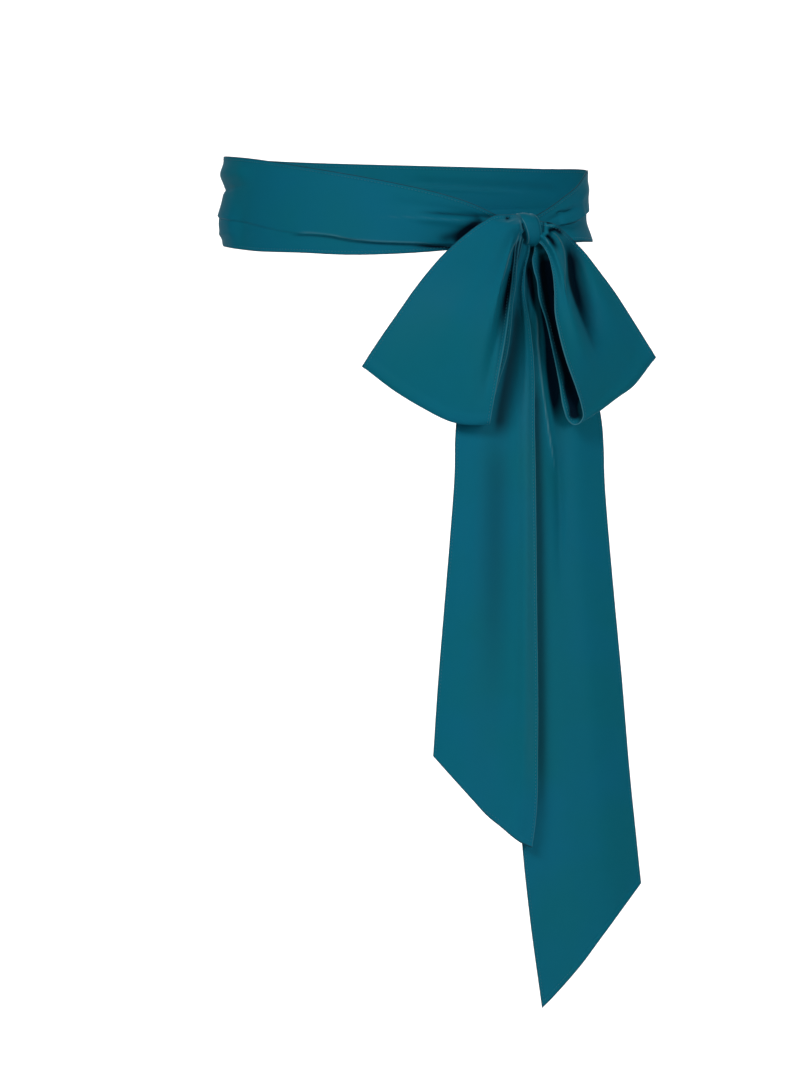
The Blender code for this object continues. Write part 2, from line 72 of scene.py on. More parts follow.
# Stitches of the hems: their even part, as a share of their length, how far they stand off, as a share of
# their thickness, and the distance ahead that gives them their direction
STITCH_PITCH = 2.4
STITCH_LONG = 1.6
STITCH_THICK = 0.26
STITCH_FROM_EDGE = 2.25
STITCH_SIDES = 4
STITCH_EVEN = 0.6
STITCH_PROUD = 0.1
STITCH_AHEAD = 0.5

# Waist form that the bow lies on
FORM_HALF_BREADTH = 131
FORM_HALF_DEPTH = 94
FORM_FLARE = 80
FLARE_TOP = -28
FLARE_REACH = 250
FLARE_SOFT = 12
FLANK_SHARE = 0.8
BAND_HALF_BREADTH = 127.4
BAND_HALF_DEPTH = 91.6

# Knot: middle, the way it faces, its reach from the middle, how each end plane slants as it goes out and up,
# and the turn from its middle to its last ring
KNOT_MIDDLE = (83, -82.4, -17.5)
KNOT_TURN = np.radians(28.5)
KNOT_FRONT = 8.6
KNOT_BACK = 10.6
KNOT_HALF_HEIGHT = 11.6
KNOT_LEFT = -5.6
KNOT_LEFT_SLANT = (0.21, -0.37)
KNOT_RIGHT = 9.4
KNOT_RIGHT_SLANT = (0.10, -0.12)
KNOT_END_TURN = np.radians(82)
KNOT_FULLNESS = 0.32
KNOT_ROUNDNESS = 0.86
KNOT_TAPER = 0.10
# Its small pleats: depth, how many waves lie across it, and how far they turn on their way round
KNOT_PLEAT = 0.018
KNOT_PLEAT_WAVE = 6.9
KNOT_PLEAT_TWIST = 0.7
# Painted shade and highlight across it, from its left side, -1, to its right, 1. Columns: value (painted
# shade below 0, painted highlight above), place, half width
KNOT_PAINTED_SHADING = (
    (-0.6, -0.97, 0.07), (0.9, -0.79, 0.028), (-0.35, 0.60, 0.10), (0.5, 0.74, 0.03),
    (-0.4, 0.85, 0.05), (0.7, 0.955, 0.03), (-0.1, 0, 0.9),
)
KNOT_COLUMNS = 150
KNOT_RINGS = 111

# Waist band: degrees to the right of the front where it leaves the knot, and degrees that it goes round
BAND_START = 36
BAND_TURN = 354
BAND_MM_PER_DEGREE = 1.92
# Its edges. Columns: degrees round from the knot's left side, bottom edge, top edge
BAND_EDGES = (
    (0, -27, -10.5), (6, -28.5, -7.5), (14, -30, 0), (24, -32, 7.2), (39, -34.2, 15), (54, -35, 21.2),
    (71, -33.8, 26.7), (88, -33.4, 31), (112, -31.2, 33.2), (140, -30.2, 32), (180, -30.5, 28.5),
    (220, -31, 26), (265, -30, 24), (300, -28, 23.4), (316, -27.4, 21.5), (328, -26.4, 11.6),
    (337, -26.6, 4.6), (344, -27, -2), (354, -27, -10.5),
)
# Main overlap of its pleats: half height of the step, share of height over which the upper pleat sinks back,
# and the share of its stand-out that is left above
BAND_STEP = 0.9
BAND_OVERLAP_REACH = 0.30
BAND_OVERLAP_LEFT = 0.35
# Columns: degrees, height as a share, how far the upper pleat stands out
BAND_OVERLAP = (
    (0, 0.16, 0.6), (19, 0.10, 1.6), (32, 0.14, 2.2), (47, 0.17, 2.4), (60, 0.22, 1.5), (74, 0.23, 0.7),
    (95, 0.30, 0.9), (125, 0.33, 1.5), (160, 0.42, 2.1), (205, 0.36, 2.3), (250, 0.46, 1.9),
    (290, 0.44, 1.6), (318, 0.40, 2.3), (333, 0.36, 1.7), (345, 0.45, 0.6), (354, 0.5, 0.2),
)
# Smaller pleats of the band, which fade over some degrees at both ends. Columns: first degree, height there,
# last degree, height there, height of ridge, half width, with heights up the band and widths as shares
BAND_PLEAT_FADE = 9
BAND_PLEATS = (
    (4, 0.50, 36, 0.52, 1.3, 0.07),
    (2, 0.78, 44, 0.70, -0.9, 0.08),
    (92, 0.84, 146, 0.78, 2.6, 0.09),
    (98, 0.26, 156, 0.24, 4.4, 0.22),
    (104, 0.66, 150, 0.62, -0.9, 0.06),
    (146, 0.74, 206, 0.66, 1.4, 0.07),
    (170, 0.18, 232, 0.14, 1, 0.06),
    (214, 0.80, 276, 0.70, 1.3, 0.07),
    (262, 0.22, 306, 0.20, -0.9, 0.07),
    (322, 0.60, 348, 0.66, -1.1, 0.07),
    (300, 0.74, 330, 0.70, 0.8, 0.08),
)
# Where the foot of the band stands out. Columns: first degree, degrees to rise, last degree, degrees to fall
# away, distance, share of height
BAND_FOOT = ((296, 18, 330, 14, 5, 0.34),)
BAND_COLUMNS = 420
BAND_ROWS_BELOW = 14
BAND_ROWS_STEP = 9
BAND_ROWS_ABOVE = 34
# Least shares of height from the hem to the step, and from row to row across it
BAND_HEM_GAP = 0.01
BAND_ROW_GAP = 0.002

# Loops: how far the front layer swells out half way along, the share of that at its outer edge, the share of
# length where the fold starts, and the shares between which a loop opens to its fold
LOOP_SWELL = 9
LOOP_SWELL_OUTER = 0.4
LOOP_FOLD_FROM = 0.95
LOOP_OPENED_FROM = 0.72
LOOP_OPENED_AT = 0.98
LOOP_COLUMNS = 150
LOOP_ROWS = 128
FOLD_ROWS = 16
ROWS_CLOSER = 1.25

# Left loop: edges as x, z and d
LEFT_OUTER_FRONT = (
    (81, -9, 13), (76, -6.6, 16.5), (70, -6.9, 18.5), (61.8, -7.2, 20), (51.4, -12.6, 22),
    (41, -20.2, 23), (27, -32.6, 24), (9.8, -52.4, 24.5), (-6.8, -75.6, 24), (-23.3, -99.6, 22.5),
    (-30.2, -110.5, 20.5),
)
LEFT_OUTER_BACK = (
    (80, -11, 9.5), (74, -9.6, 11), (63, -10.5, 12.5), (54, -16, 14), (43, -24, 15), (29, -36, 15.5),
    (11.5, -55, 15.5), (-5.5, -77, 16), (-22.6, -100.2, 17), (-30.2, -110.5, 18.5),
)
LEFT_INNER_FRONT = (
    (84, -16.5, 14.5), (79, -22.5, 18), (76.4, -29, 20.5), (75.6, -38, 22), (73.9, -50, 24),
    (73, -58.5, 25), (71.4, -72.5, 26), (68.5, -93, 26.5), (65, -112, 26), (61.4, -130.4, 24.5),
    (57.9, -150.2, 21),
)
LEFT_INNER_BACK = (
    (85.5, -19.5, 10), (82.4, -24, 12), (79.8, -33, 13.4), (77.7, -42.6, 14), (76.3, -58.7, 14.6),
    (74.8, -66.8, 15), (73.1, -84.6, 15.4), (70.1, -104.4, 15.8), (64.7, -121, 16.2), (59.4, -140, 17),
    (57.9, -150.2, 18),
)
# How far the fold at its foot lies above a straight line. Columns: share of width, z
LEFT_FOLD_SAG = ((0, 0), (0.27, -7), (0.46, -9.5), (0.72, -10), (0.9, -4.8), (1, 0))
# Half of its opening at the fold, at the outer and at the inner edge
LEFT_FOLD_HALF = (2.6, 3.4)

# Right loop: edges as x, z and d
RIGHT_OUTER_FRONT = (
    (87, -9.6, 13.5), (94.5, -11.6, 16), (102, -13, 19), (106.3, -15.2, 20), (112, -20.2, 21),
    (124.2, -32.2, 22), (135, -46, 22.5), (145, -59.2, 22.5), (162.3, -85.4, 21.5),
    (176.8, -108.2, 19.5),
)
RIGHT_OUTER_BACK = (
    (86.5, -11.5, 8.6), (95, -14, 9.6), (105, -18.5, 10.4), (111, -24, 11), (122.5, -36, 12),
    (133, -49.5, 13), (143, -62, 14), (161.2, -87, 15.5), (176.8, -108.2, 17.5),
)
RIGHT_INNER_FRONT = (
    (90, -24, 13.5), (96, -29.8, 17.5), (98.7, -34.8, 19), (101.8, -46.8, 21.5), (103, -59, 23),
    (103.4, -75.4, 24), (106.1, -89.4, 24.5), (111.3, -108.4, 24), (118.1, -127.1, 22.5),
    (122, -139.6, 20.5), (123.2, -146, 19), (122.6, -152.6, 17.5),
)
RIGHT_INNER_BACK = (
    (83.5, -18.5, 8.4), (88.6, -26, 9.4), (89.4, -31.5, 10.8), (88, -38, 12), (89, -45.5, 12.6),
    (91, -52.6, 12.8), (92.6, -65.5, 13), (96.9, -78.8, 13), (102.2, -102.1, 13), (106.8, -125.4, 13.4),
    (108.8, -138.6, 14), (111, -146.6, 14.6), (112.6, -152.8, 15.6),
)
RIGHT_FOLD_SAG = ((0, 0), (0.1, -2.6), (0.26, -6.6), (0.5, -5.4), (0.75, -3.8), (0.92, -1.5), (1, 0))
RIGHT_FOLD_HALF = (3.5, 3.2)

# Main creases of the loops' layers. Columns: share of width near the knot and near the fold, first and last
# share of length, height (a ridge is positive), half width as a share
LEFT_FRONT_CREASES = (
    (0.50, 0.46, -0.1, 0.95, 7, 0.34),
    (0.84, 0.80, -0.05, 0.66, 3, 0.07),
    (0.925, 0.91, -0.05, 0.95, -8, 0.07),
    (0.22, 0.24, -0.2, 0.22, 1.6, 0.10),
    (0.36, 0.34, -0.2, 0.16, -1.8, 0.07),
    (0.62, 0.60, -0.2, 0.20, -1, 0.08),
)
LEFT_BACK_CREASES = (
    (0.35, 0.40, -0.1, 0.80, -2.2, 0.16),
    (0.70, 0.66, -0.1, 0.60, 1.8, 0.10),
)
RIGHT_FRONT_CREASES = (
    (0.62, 0.76, -0.05, 0.86, 5.5, 0.13),
    (0.12, 0.18, 0.02, 0.90, 3, 0.14),
    (0.86, 0.90, -0.2, 0.25, -1.6, 0.05),
)
RIGHT_BACK_CREASES = (
    (0.30, 0.36, -0.1, 0.70, 1.6, 0.14),
    (0.64, 0.62, -0.1, 0.75, -1.6, 0.12),
)

# Front tail: edges as x, z and d
FRONT_TAIL_LEFT = (
    (80.5, -25, 8), (77.5, -34, 8.4), (66, -58, 8), (52, -90, 7.5), (40, -122, 7.5), (34.9, -149, 8),
    (33.4, -188, 8), (30.4, -227.5, 8), (26.3, -276.5, 8), (22.2, -326, 8), (18.7, -377.7, 8.5),
)
FRONT_TAIL_RIGHT = (
    (86.5, -25, 10.5), (86.3, -32.5, 10.8), (83.8, -43, 10.4), (82.6, -58.6, 10), (86.3, -82, 10),
    (88.6, -104, 10.4), (89.5, -155.6, 10.8), (90.6, -272.2, 11), (91.2, -373.1, 11),
    (89.8, -423.2, 10.5), (87.1, -442.5, 10),
)
# How far its cut lies above a straight line. Columns: share of width, z
FRONT_CUT_BOW = ((0, 0), (0.39, -4.6), (0.54, -6.4), (0.68, -5.4), (0.88, -3.6), (1, 0))
FRONT_CUT_SLANT = 0.71
FRONT_TAIL_CREASES = (
    (0.88, 0.86, -0.05, 1.10, 3, 0.07),
    (0.62, 0.60, -0.05, 1.20, -2.2, 0.16),
    (0.28, 0.24, -0.05, 1.20, 1.8, 0.16),
    (0.45, 0.40, -0.3, 0.20, 1.2, 0.08),
)

# Rear tail: edges as x, z and d
REAR_TAIL_LEFT = (
    (86, -24.5, 5), (83, -36, 4), (78.5, -58, 3.2), (75, -90, 2.8), (73, -150, 2.6), (72.5, -230, 2.6),
    (74, -320, 2.6), (77.5, -400, 2.8), (80.3, -440.3, 3), (85.9, -493, 3), (94.3, -554.5, 3.5),
)
REAR_TAIL_RIGHT = (
    (92.5, -24.5, 5.5), (98, -36, 4.4), (108, -58, 3.6), (121, -90, 3), (131, -122, 3),
    (136.9, -149, 3.2), (139.4, -198.2, 3.6), (144.9, -264.8, 4), (151.2, -332, 4), (156.9, -399, 4),
    (161.2, -440, 4), (164.9, -474.8, 4),
)
REAR_CUT_BOW = ((0, 0), (0.1, -1.6), (0.22, -2.7), (0.4, -3.3), (0.58, -1.9), (0.8, -0.6), (1, 0))
REAR_CUT_SLANT = 0.66
REAR_TAIL_CREASES = (
    (0.30, 0.42, -0.05, 0.46, 2.4, 0.07),
    (0.52, 0.50, -0.05, 0.62, -1.8, 0.09),
    (0.74, 0.70, -0.05, 1.20, 1.5, 0.14),
    (0.20, 0.24, 0.45, 1.30, -1.2, 0.16),
)
# Lines and painted shade, shadow and highlight of the tails, in the columns of those of the loops below
# Painted shadow of the left loop on the front tail, painted shade below it, a faint painted highlight by its
# right edge
FRONT_TAIL_PAINTED_SHADING = (
    (-0.8, 7, 3, 26, 12, (79, -56), (77.4, -72), (75, -93), (71.2, -112), (67.6, -130),
     (64, -150), (63, -160)),
    (-0.28, 9, 9, 40, 140, (64, -150), (62.5, -190), (61.5, -260), (61.5, -374)),
    (0.06, 3.2, 3.2, 20, 40, (83, -50), (81.8, -66), (83, -120), (85.4, -200), (86, -320),
     (86, -410)),
)
REAR_FOLD = (
    (85, -66), (90, -75), (92, -99), (94, -119), (99, -155), (103, -180), (105, -199),
)
REAR_TAIL_LINES = (
    (1.6, 1.4, 1.4, 12, 40, *REAR_FOLD),
    (-2, 3.2, 3.2, 20, 80, (104, -165), (106.5, -200), (107, -240), (107, -280)),
)
# Painted shadow of the front tail and right loop on the rear tail, painted shade by its fold, painted
# highlight on it
REAR_TAIL_PAINTED_SHADING = (
    (-1.35, 2.6, 2.6, 10, 26, (85.4, -38), (86.6, -52), (88.8, -66), (91.6, -84)),
    (-1.5, 9, 2.2, 8, 40, (90, -28), (92.4, -45), (94, -60), (96, -75), (98.4, -92),
     (100, -119), (103.5, -145), (106, -166)),
    (0.6, 0.5, 0.5, 12, 40, *REAR_FOLD),
    (-0.5, 4, 4, 20, 60, (89.6, -120), (91, -160), (92.6, -220), (93, -300), (93.4, -430)),
    (-0.2, 5, 5, 20, 110, (106, -150), (107, -200), (107.4, -280)),
)
TAIL_COLUMNS = 60
TAIL_ROWS = 230
TAIL_ROWS_CLOSER = 1.2

# How creases and folds are drawn: shares of length over which a crease fades in and out, the limit of its
# height over its half width squared, shares of length from which a loop's foot and a tail's cut bend, and the
# number of points along a drawn line
CREASE_START = 0.12
CREASE_END = 0.4
CREASE_STEEPEST = 1
FOLD_SAG_FROM = 0.45
CUT_BOW_FROM = 0.55
LINE_SAMPLES = 40

# Edges of folds, which steps, creases and tones share, as x and z
LEFT_FOLD = (
    (58.8, -90), (61.6, -75), (64.4, -60.7), (66.6, -51.8), (69.7, -41.5), (71.7, -34.5), (74.1, -29.2),
    (76.8, -24.8), (78.6, -18.8), (79.9, -12.9), (80.2, -7),
)
LEFT_INNER_FOLD = ((77.1, -26.1), (76.8, -29.3), (76, -34.6), (75.7, -41.6), (75.1, -48.5))
LEFT_PUCKER = ((69.2, -11.9), (70.9, -11.8), (73.9, -11), (77, -10.4))
RIGHT_FOLD = (
    (114.4, -73.3), (111.4, -62), (110.4, -52.5), (111.1, -40.1), (110.4, -31.8), (107.7, -25.2),
    (103.9, -20.6), (100.4, -18.7),
)
# Creases drawn one by one, as height (a trough is negative), half width to the left and to the right as it
# runs, lengths over which it fades in and out, then its points as x and z
LEFT_FRONT_LINES = (
    (-4, 4.5, 1.6, 6, 34, (78.4, -17.5), (76, -25), (73.6, -35.5), (71.8, -45.1), (69.6, -55.3),
     (67.5, -65.6), (65.1, -82.7)),
    (0.9, 0.7, 0.7, 2, 16, *LEFT_INNER_FOLD),
    (-0.9, 0.5, 0.5, 2, 12, (78, -25), (77.7, -29.3), (76.9, -34.6), (76.4, -41.6)),
    (-1.3, 1.2, 1.2, 1, 3, (68.6, -10), (70.9, -9.7), (73.2, -9.4)),
    (0.5, 1, 1, 1, 4, *LEFT_PUCKER),
)
RIGHT_FRONT_LINES = (
    (-12.5, 8, 4, 16, 44, (106.5, -19.6), (111.5, -25), (115, -32), (117.2, -40.4), (118.8, -52.9),
     (121.6, -66.8), (125.4, -79.3), (132, -96.1), (137, -108)),
    (-2.6, 1.4, 1.4, 2, 5, (98.8, -18.2), (101.5, -17.6), (104, -17.4), (107, -19.6)),
    (-2.2, 1.1, 1.1, 1, 4, (97.6, -21.8), (100.8, -24.4), (104.2, -28.9)),
    (0.8, 0.8, 0.8, 2, 10, (98.5, -14), (102.7, -15), (107, -18.6), (112, -24.6)),
)
# Folded edges, which stand out to the left of a line as it runs. Columns: height, half width of the step,
# reach over which it sinks back, lengths over which it fades in and out, then its points as x and z
LEFT_STEPS = (
    (4.5, 0.6, 18, 30, 9, *LEFT_FOLD),
    (1.4, 0.5, 3, 14, 3, *LEFT_INNER_FOLD[::-1], (79, -21.5)),
)
RIGHT_STEPS = ((4.5, 0.8, 9, 26, 3, *RIGHT_FOLD),)
# Creases that run from the knot down the backs of the loops. Inside the right loop, the first one drops away
# behind the layer's own edge
LEFT_BACK_LINES = (
    (-2.4, 5, 3, 10, 60, (76, -20), (60, -42), (42, -66), (24, -86)),
    (-2, 4, 2.5, 10, 60, (78, -30), (69, -58), (58, -86), (50, -112)),
    (1.4, 2.2, 2.2, 10, 44, (73, -27), (58, -52), (44, -76)),
)
RIGHT_BACK_LINES = (
    (-4.2, 9, 3.6, 6, 20, (96.4, -32), (97.6, -45), (99.4, -58), (102, -75), (105.8, -90),
     (111, -108), (116.2, -126), (119, -141)),
    (-2.2, 4.5, 3, 10, 56, (106, -24), (124, -50), (141, -76), (153, -98)),
    (1.4, 2.2, 2.2, 10, 44, (103, -28), (116, -56), (128, -90)),
)
# Painted shade and highlight: painted shade in deep folds, where little light gets in and out again, and a
# painted highlight along folded edges. Columns: painted shade, -1, to painted highlight, 1, half widths to
# the left and right, lengths over which it fades in and out, then its points
LEFT_PAINTED_SHADING = (
    (-1, 5, 3.2, 10, 40, (75, -42), (71.4, -56), (68.4, -68), (65.8, -84), (63.6, -104)),
    (-0.55, 3.4, 0.5, 3, 42, (80, -19), (77.4, -27.5), (74.6, -35.5), (72.5, -45.1), (70.2, -55.3),
     (68, -65.6), (66.1, -82.7)),
    (0.9, 0.42, 0.42, 4, 26, *LEFT_FOLD[8:1:-1]),
    (0.6, 0.35, 0.35, 2, 14, *LEFT_INNER_FOLD),
    (-0.7, 0.5, 0.5, 2, 14, (78.3, -26.1), (78, -29.3), (77.2, -34.6), (76.7, -41.6)),
    (-1.1, 1.3, 1, 1, 3, (68.6, -9.9), (70.9, -9.6), (73.4, -9.4)),
    (0.25, 0.5, 0.5, 1, 4, *LEFT_PUCKER),
    (0.8, 0.4, 0.4, 1, 2, (79, -10.5), (79.8, -14), (81, -18.5)),
    (-1.2, 0.9, 0.3, 1, 2, (80.4, -12.5), (81.2, -16), (82, -20)),
)
LEFT_BACK_PAINTED_SHADING = (
    (-1, 0.8, 0.6, 2, 20, (78.6, -24), (77.2, -30), (76.3, -38), (75.4, -48), (74.6, -56)),
    (0.8, 0.35, 0.35, 2, 18, (80.4, -21), (79.4, -25.7), (78.3, -31.6), (77.2, -41.8), (76, -54)),
    (-1, 0.7, 0.3, 2, 18, (81.2, -21), (80.2, -25.7), (79, -31.6), (77.8, -41.8), (76.6, -54)),
)
RIGHT_PAINTED_SHADING = (
    (-1.3, 9, 1.6, 21, 56, (108.6, -21.6), (112.8, -30.6), (113.8, -40.4), (114.6, -52.9), (118.6, -66.8),
     (123.4, -79.3), (130, -96.1), (136, -110)),
    (0.6, 0.42, 0.42, 3, 22, *RIGHT_FOLD[:0:-1]),
    (-1.3, 1.5, 1.9, 2, 6, (98.4, -18.8), (101.4, -17.8), (104, -17.3), (107, -19), (110, -23)),
    (-1.2, 2.4, 1.5, 2, 9, (97, -20.6), (101, -24.6), (104, -29.4), (105.6, -34)),
    (-1.3, 0.8, 0.8, 1, 2, (97.8, -13.4), (100.2, -13), (102.9, -12.8)),
    (-0.9, 0.7, 0.7, 1, 1, (95.7, -12), (96, -16), (95.8, -20)),
    (0.7, 0.4, 0.4, 1, 4, (96.4, -22), (98.6, -25.2), (100.2, -29)),
    (0.35, 0.5, 0.5, 1, 3, (97.1, -14.6), (100.5, -14.7), (104.2, -15.6)),
)
# Painted shade inside the right loop, between its back layer's edge and its front layer
RIGHT_BACK_PAINTED_SHADING = (
    (-1.7, 15, 4.6, 20, 16, (94.6, -28), (96.4, -45), (98.6, -58), (102, -75), (105.6, -90),
     (110.8, -108), (115.2, -126), (116.6, -142)),
    (-1.6, 4.4, 3.4, 10, 5, (112.6, -118), (115.2, -132), (117, -151)),
)

# Layers of cloth. Columns: both edges, its far end, creases, drawn creases, folded edges, painted shade and
# highlight
LEFT_FRONT = (
    (LEFT_OUTER_FRONT, LEFT_INNER_FRONT), LEFT_FOLD_SAG,
    LEFT_FRONT_CREASES, LEFT_FRONT_LINES, LEFT_STEPS, LEFT_PAINTED_SHADING,
)
LEFT_BACK = (
    (LEFT_OUTER_BACK, LEFT_INNER_BACK), LEFT_FOLD_SAG,
    LEFT_BACK_CREASES, LEFT_BACK_LINES, (), LEFT_BACK_PAINTED_SHADING,
)
RIGHT_FRONT = (
    (RIGHT_OUTER_FRONT, RIGHT_INNER_FRONT), RIGHT_FOLD_SAG,
    RIGHT_FRONT_CREASES, RIGHT_FRONT_LINES, RIGHT_STEPS, RIGHT_PAINTED_SHADING,
)
RIGHT_BACK = (
    (RIGHT_OUTER_BACK, RIGHT_INNER_BACK), RIGHT_FOLD_SAG,
    RIGHT_BACK_CREASES, RIGHT_BACK_LINES, (), RIGHT_BACK_PAINTED_SHADING,
)
FRONT_TAIL = (
    (FRONT_TAIL_LEFT, FRONT_TAIL_RIGHT), FRONT_CUT_BOW,
    FRONT_TAIL_CREASES, (), (), FRONT_TAIL_PAINTED_SHADING,
)
REAR_TAIL = (
    (REAR_TAIL_LEFT, REAR_TAIL_RIGHT), REAR_CUT_BOW,
    REAR_TAIL_CREASES, REAR_TAIL_LINES, (), REAR_TAIL_PAINTED_SHADING,
)

# Drawn creases, a folded edge and the painted shade, shadow and highlight of the band, with degrees round the
# waist in place of x
BAND_LINES = (
    (-1, 0.9, 1.6, 4, 20, (3, -9.4), (9.3, -7.9), (14, -7.2), (22, -6), (34, -4.4)),
    (0.9, 1.6, 1.6, 6, 20, (4, -13.5), (12, -11.6), (24, -10.4), (38, -10)),
    (-0.9, 0.8, 0.8, 2, 5, (341.1, -7.3), (339.6, -5.7), (335.4, -5.1), (329.6, -2.9)),
    (-1.1, 1, 2, 30, 40, (92, 14), (116, 10), (144, 8.6)),
    (0.9, 1.8, 1.8, 30, 40, (100, -19.5), (130, -22.5), (168, -21)),
    (-1.2, 1, 2.2, 24, 40, (156, 5), (182, 0.5), (210, -0.5)),
    (-1, 0.9, 1.8, 24, 36, (212, 12), (238, 8.5), (262, 6.5)),
    (1, 1.8, 1.8, 24, 36, (224, -20), (254, -18), (284, -16.5)),
    (-1.1, 1, 2, 24, 24, (258, -9.5), (280, -7.5), (302, -3)),
)
BAND_STEPS = ((1.6, 0.5, 6, 8, 4, (318, -7.4), (328.6, -11.9), (334.1, -13.4), (339.2, -14.9)),)
# Painted shade in the band's creases, painted shadow where it runs under the left loop, painted highlight on
# two ridges
BAND_PAINTED_SHADING = (
    (-0.7, 0.7, 1.4, 4, 20, (3, -9.8), (9.3, -8.3), (14, -7.6), (22, -6.4), (34, -4.8)),
    (0.12, 0.4, 0.4, 4, 12, (12, -11.6), (25.6, -9.8), (31.9, -8.8), (46, -8.6)),
    (-1, 3.6, 3.6, 4, 4, (11, -10), (14.6, -15), (18.6, -23), (21, -28)),
    (-0.65, 3, 3, 5, 8, (12.5, -13.5), (16.7, -17), (21.5, -21.5), (27, -25)),
    (-0.7, 1.6, 1.6, 14, 4, (35, -28.4), (27, -29), (20, -30)),
    (-0.6, 1, 0.5, 10, 6, (76, -20.8), (60.4, -22.6), (53.7, -25.2), (47.4, -26.6), (31.9, -28.2),
     (19.3, -30.2)),
    (0.35, 0.4, 0.4, 10, 6, (72.9, -19.4), (60.4, -20.8), (53.7, -23.6), (47.4, -25), (31.9, -26.4),
     (19.3, -28.5)),
    (-0.6, 0.7, 0.7, 2, 5, (341.1, -7.3), (339.6, -5.7), (335.4, -5.1), (330.6, -3.3)),
    (-0.5, 0.5, 0.9, 5, 4, (320, -8.6), (328.6, -12.3), (334.1, -13.9), (339.2, -15.4)),
)

# Finish: the cloth's two teals and the waves in which it drifts between them, the pale teal of painted
# highlights, the near black teal of painted shade, and the share of that painted shade at a value of -1
TEAL = (0.0024, 0.1060, 0.1680)
TEAL_GREENER = (0.0022, 0.1060, 0.1500)
TEAL_PAINTED_HIGHLIGHT = (0.070, 0.190, 0.230)
TEAL_PAINTED_SHADE = (0.0002, 0.0060, 0.0140)
PAINTED_SHADE_SHARE = 0.92
DRIFT_SCALE = 16
DRIFT_DETAIL = 2
DRIFT_RANGE = (0.35, 0.65)
CLOTH_ROUGHNESS = 0.55
CLOTH_GLOSS = 0.03
CLOTH_SHEEN = 0.01
SHEEN_ROUGHNESS = 0.4
SHEEN_TINT = (0.10, 0.45, 0.55)
# Relief: pitch of the weave, its height beside the crepe's, the crepe's size, strength and depth of both
WEAVE_PITCH = 0.42
WEAVE_HEIGHT = 0.25
CREPE_SIZE = 0.8
RELIEF_STRENGTH = 0.10
RELIEF_DEPTH = 0.06
# Thread: two teals mixed by its twist, and the size of the twist
THREAD_DARK = (0.010, 0.085, 0.125)
THREAD_PALE = (0.020, 0.120, 0.165)
THREAD_TWIST = 0.25
THREAD_ROUGHNESS = 0.6

# Studio, in metres
FLOOR = -1.05
WALL_BEHIND = 5.9
WALL_TOP = 5
SWEEP_RADIUS = 2
SWEEP_STEPS = 24
FLOOR_AHEAD = 14
FLOOR_HALF_BREADTH = 14
PAPER = (0.88, 0.88, 0.88)
PAPER_ROUGHNESS = 0.9
WHITE = (1, 1, 1)
AMBIENT = 0.14
# Columns: name, degrees round to the right, degrees up, distance, size, watts
LIGHTS = (
    ("key", -28, 36, 3, 0.9, 54),
    ("fill", 46, 14, 3.6, 1.6, 50),
    ("behind", 155, 42, 3.2, 1.4, 15),
)
WALL_LIGHT_PLACE = (0, 2.4, 2.8)
WALL_LIGHT_TILT = np.radians(62)
WALL_LIGHT_SIZE = 2.5
WALL_LIGHT_POWER = 250

# Camera: height of its frame in pixels, millimetres to a pixel at the target, then the target and distance in
# metres, degrees up, and its sensor
PHOTO_HEIGHT = 1067
PIXEL = 0.70
TARGET = (-0.004, -0.080, -0.230)
CAMERA_DISTANCE = 4
CAMERA_ELEVATION = 4
SENSOR = 36


def smooth(t):
    """A soft step from 0 at t = 0 to 1 at t = 1: three squares less two cubes."""
    t = np.clip(t, 0, 1)
    return t * t * (3 - 2 * t)


def unit(vectors):
    """Vectors divided by their lengths."""
    return vectors / np.linalg.norm(vectors, axis=-1, keepdims=True)


def through(at, values, t):
    """Cubic curve through values, given at the places at, read at t."""
    at = np.asarray(at, float)
    values = np.asarray(values, float)
    slope = np.gradient(values, at, axis=0)
    k = np.clip(np.searchsorted(at, t, side="right") - 1, 0, len(at) - 2)
    span = at[k + 1] - at[k]
    s = (t - at[k]) / span
    if values.ndim == 2:
        span, s = span[:, None], s[:, None]
    start = (1 + 2 * s) * (1 - s) ** 2 * values[k] + s * (1 - s) ** 2 * span * slope[k]
    return start + s * s * (3 - 2 * s) * values[k + 1] + s * s * (s - 1) * span * slope[k + 1]


def column(table, t, number):
    """One column of a table read at t, where the table's first column says where each row is."""
    rows = np.array(table, float)
    return through(rows[:, 0], rows[:, number], t)


def run_along(path):
    """Distance from the start of a path to each of its points, added up from its steps."""
    return np.concatenate([[0], np.cumsum(np.linalg.norm(np.diff(path, axis=0), axis=1))])


def edge(table, t):
    """Curve through the rows of a table of x, z and d, read at shares t of its length."""
    rows = np.array(table, float)
    run = run_along(rows[:, :2])
    return through(run / run[-1], rows, t)


def edge_length(table):
    """Length of an edge seen from the front."""
    return run_along(np.array(table, float)[:, :2])[-1]


def form_y(x, z):
    """Front of the flared form, as y for each x and z: an ellipse with straight flanks past FLANK_SHARE."""
    below = FLARE_TOP - z
    started = np.clip(below + FLARE_SOFT, 0, 2 * FLARE_SOFT) ** 2 / (4 * FLARE_SOFT)
    started = np.where(below > FLARE_SOFT, below, started)
    lean = FORM_FLARE * (1 - np.exp(-started / FLARE_REACH))
    share = np.abs(x) / (FORM_HALF_BREADTH + lean)
    flank_rise = np.sqrt(1 - FLANK_SHARE**2)
    flank_slope = FLANK_SHARE / flank_rise
    rise = np.sqrt(1 - np.minimum(share, FLANK_SHARE) ** 2)
    return -(FORM_HALF_DEPTH + lean) * (rise - flank_slope * np.maximum(0, share - FLANK_SHARE))


def placed(points):
    """Turns x, z and d into x, y and z."""
    x, z, d = points[..., 0], points[..., 1], points[..., 2]
    return np.stack([x, form_y(x, z) - d, z], axis=-1)


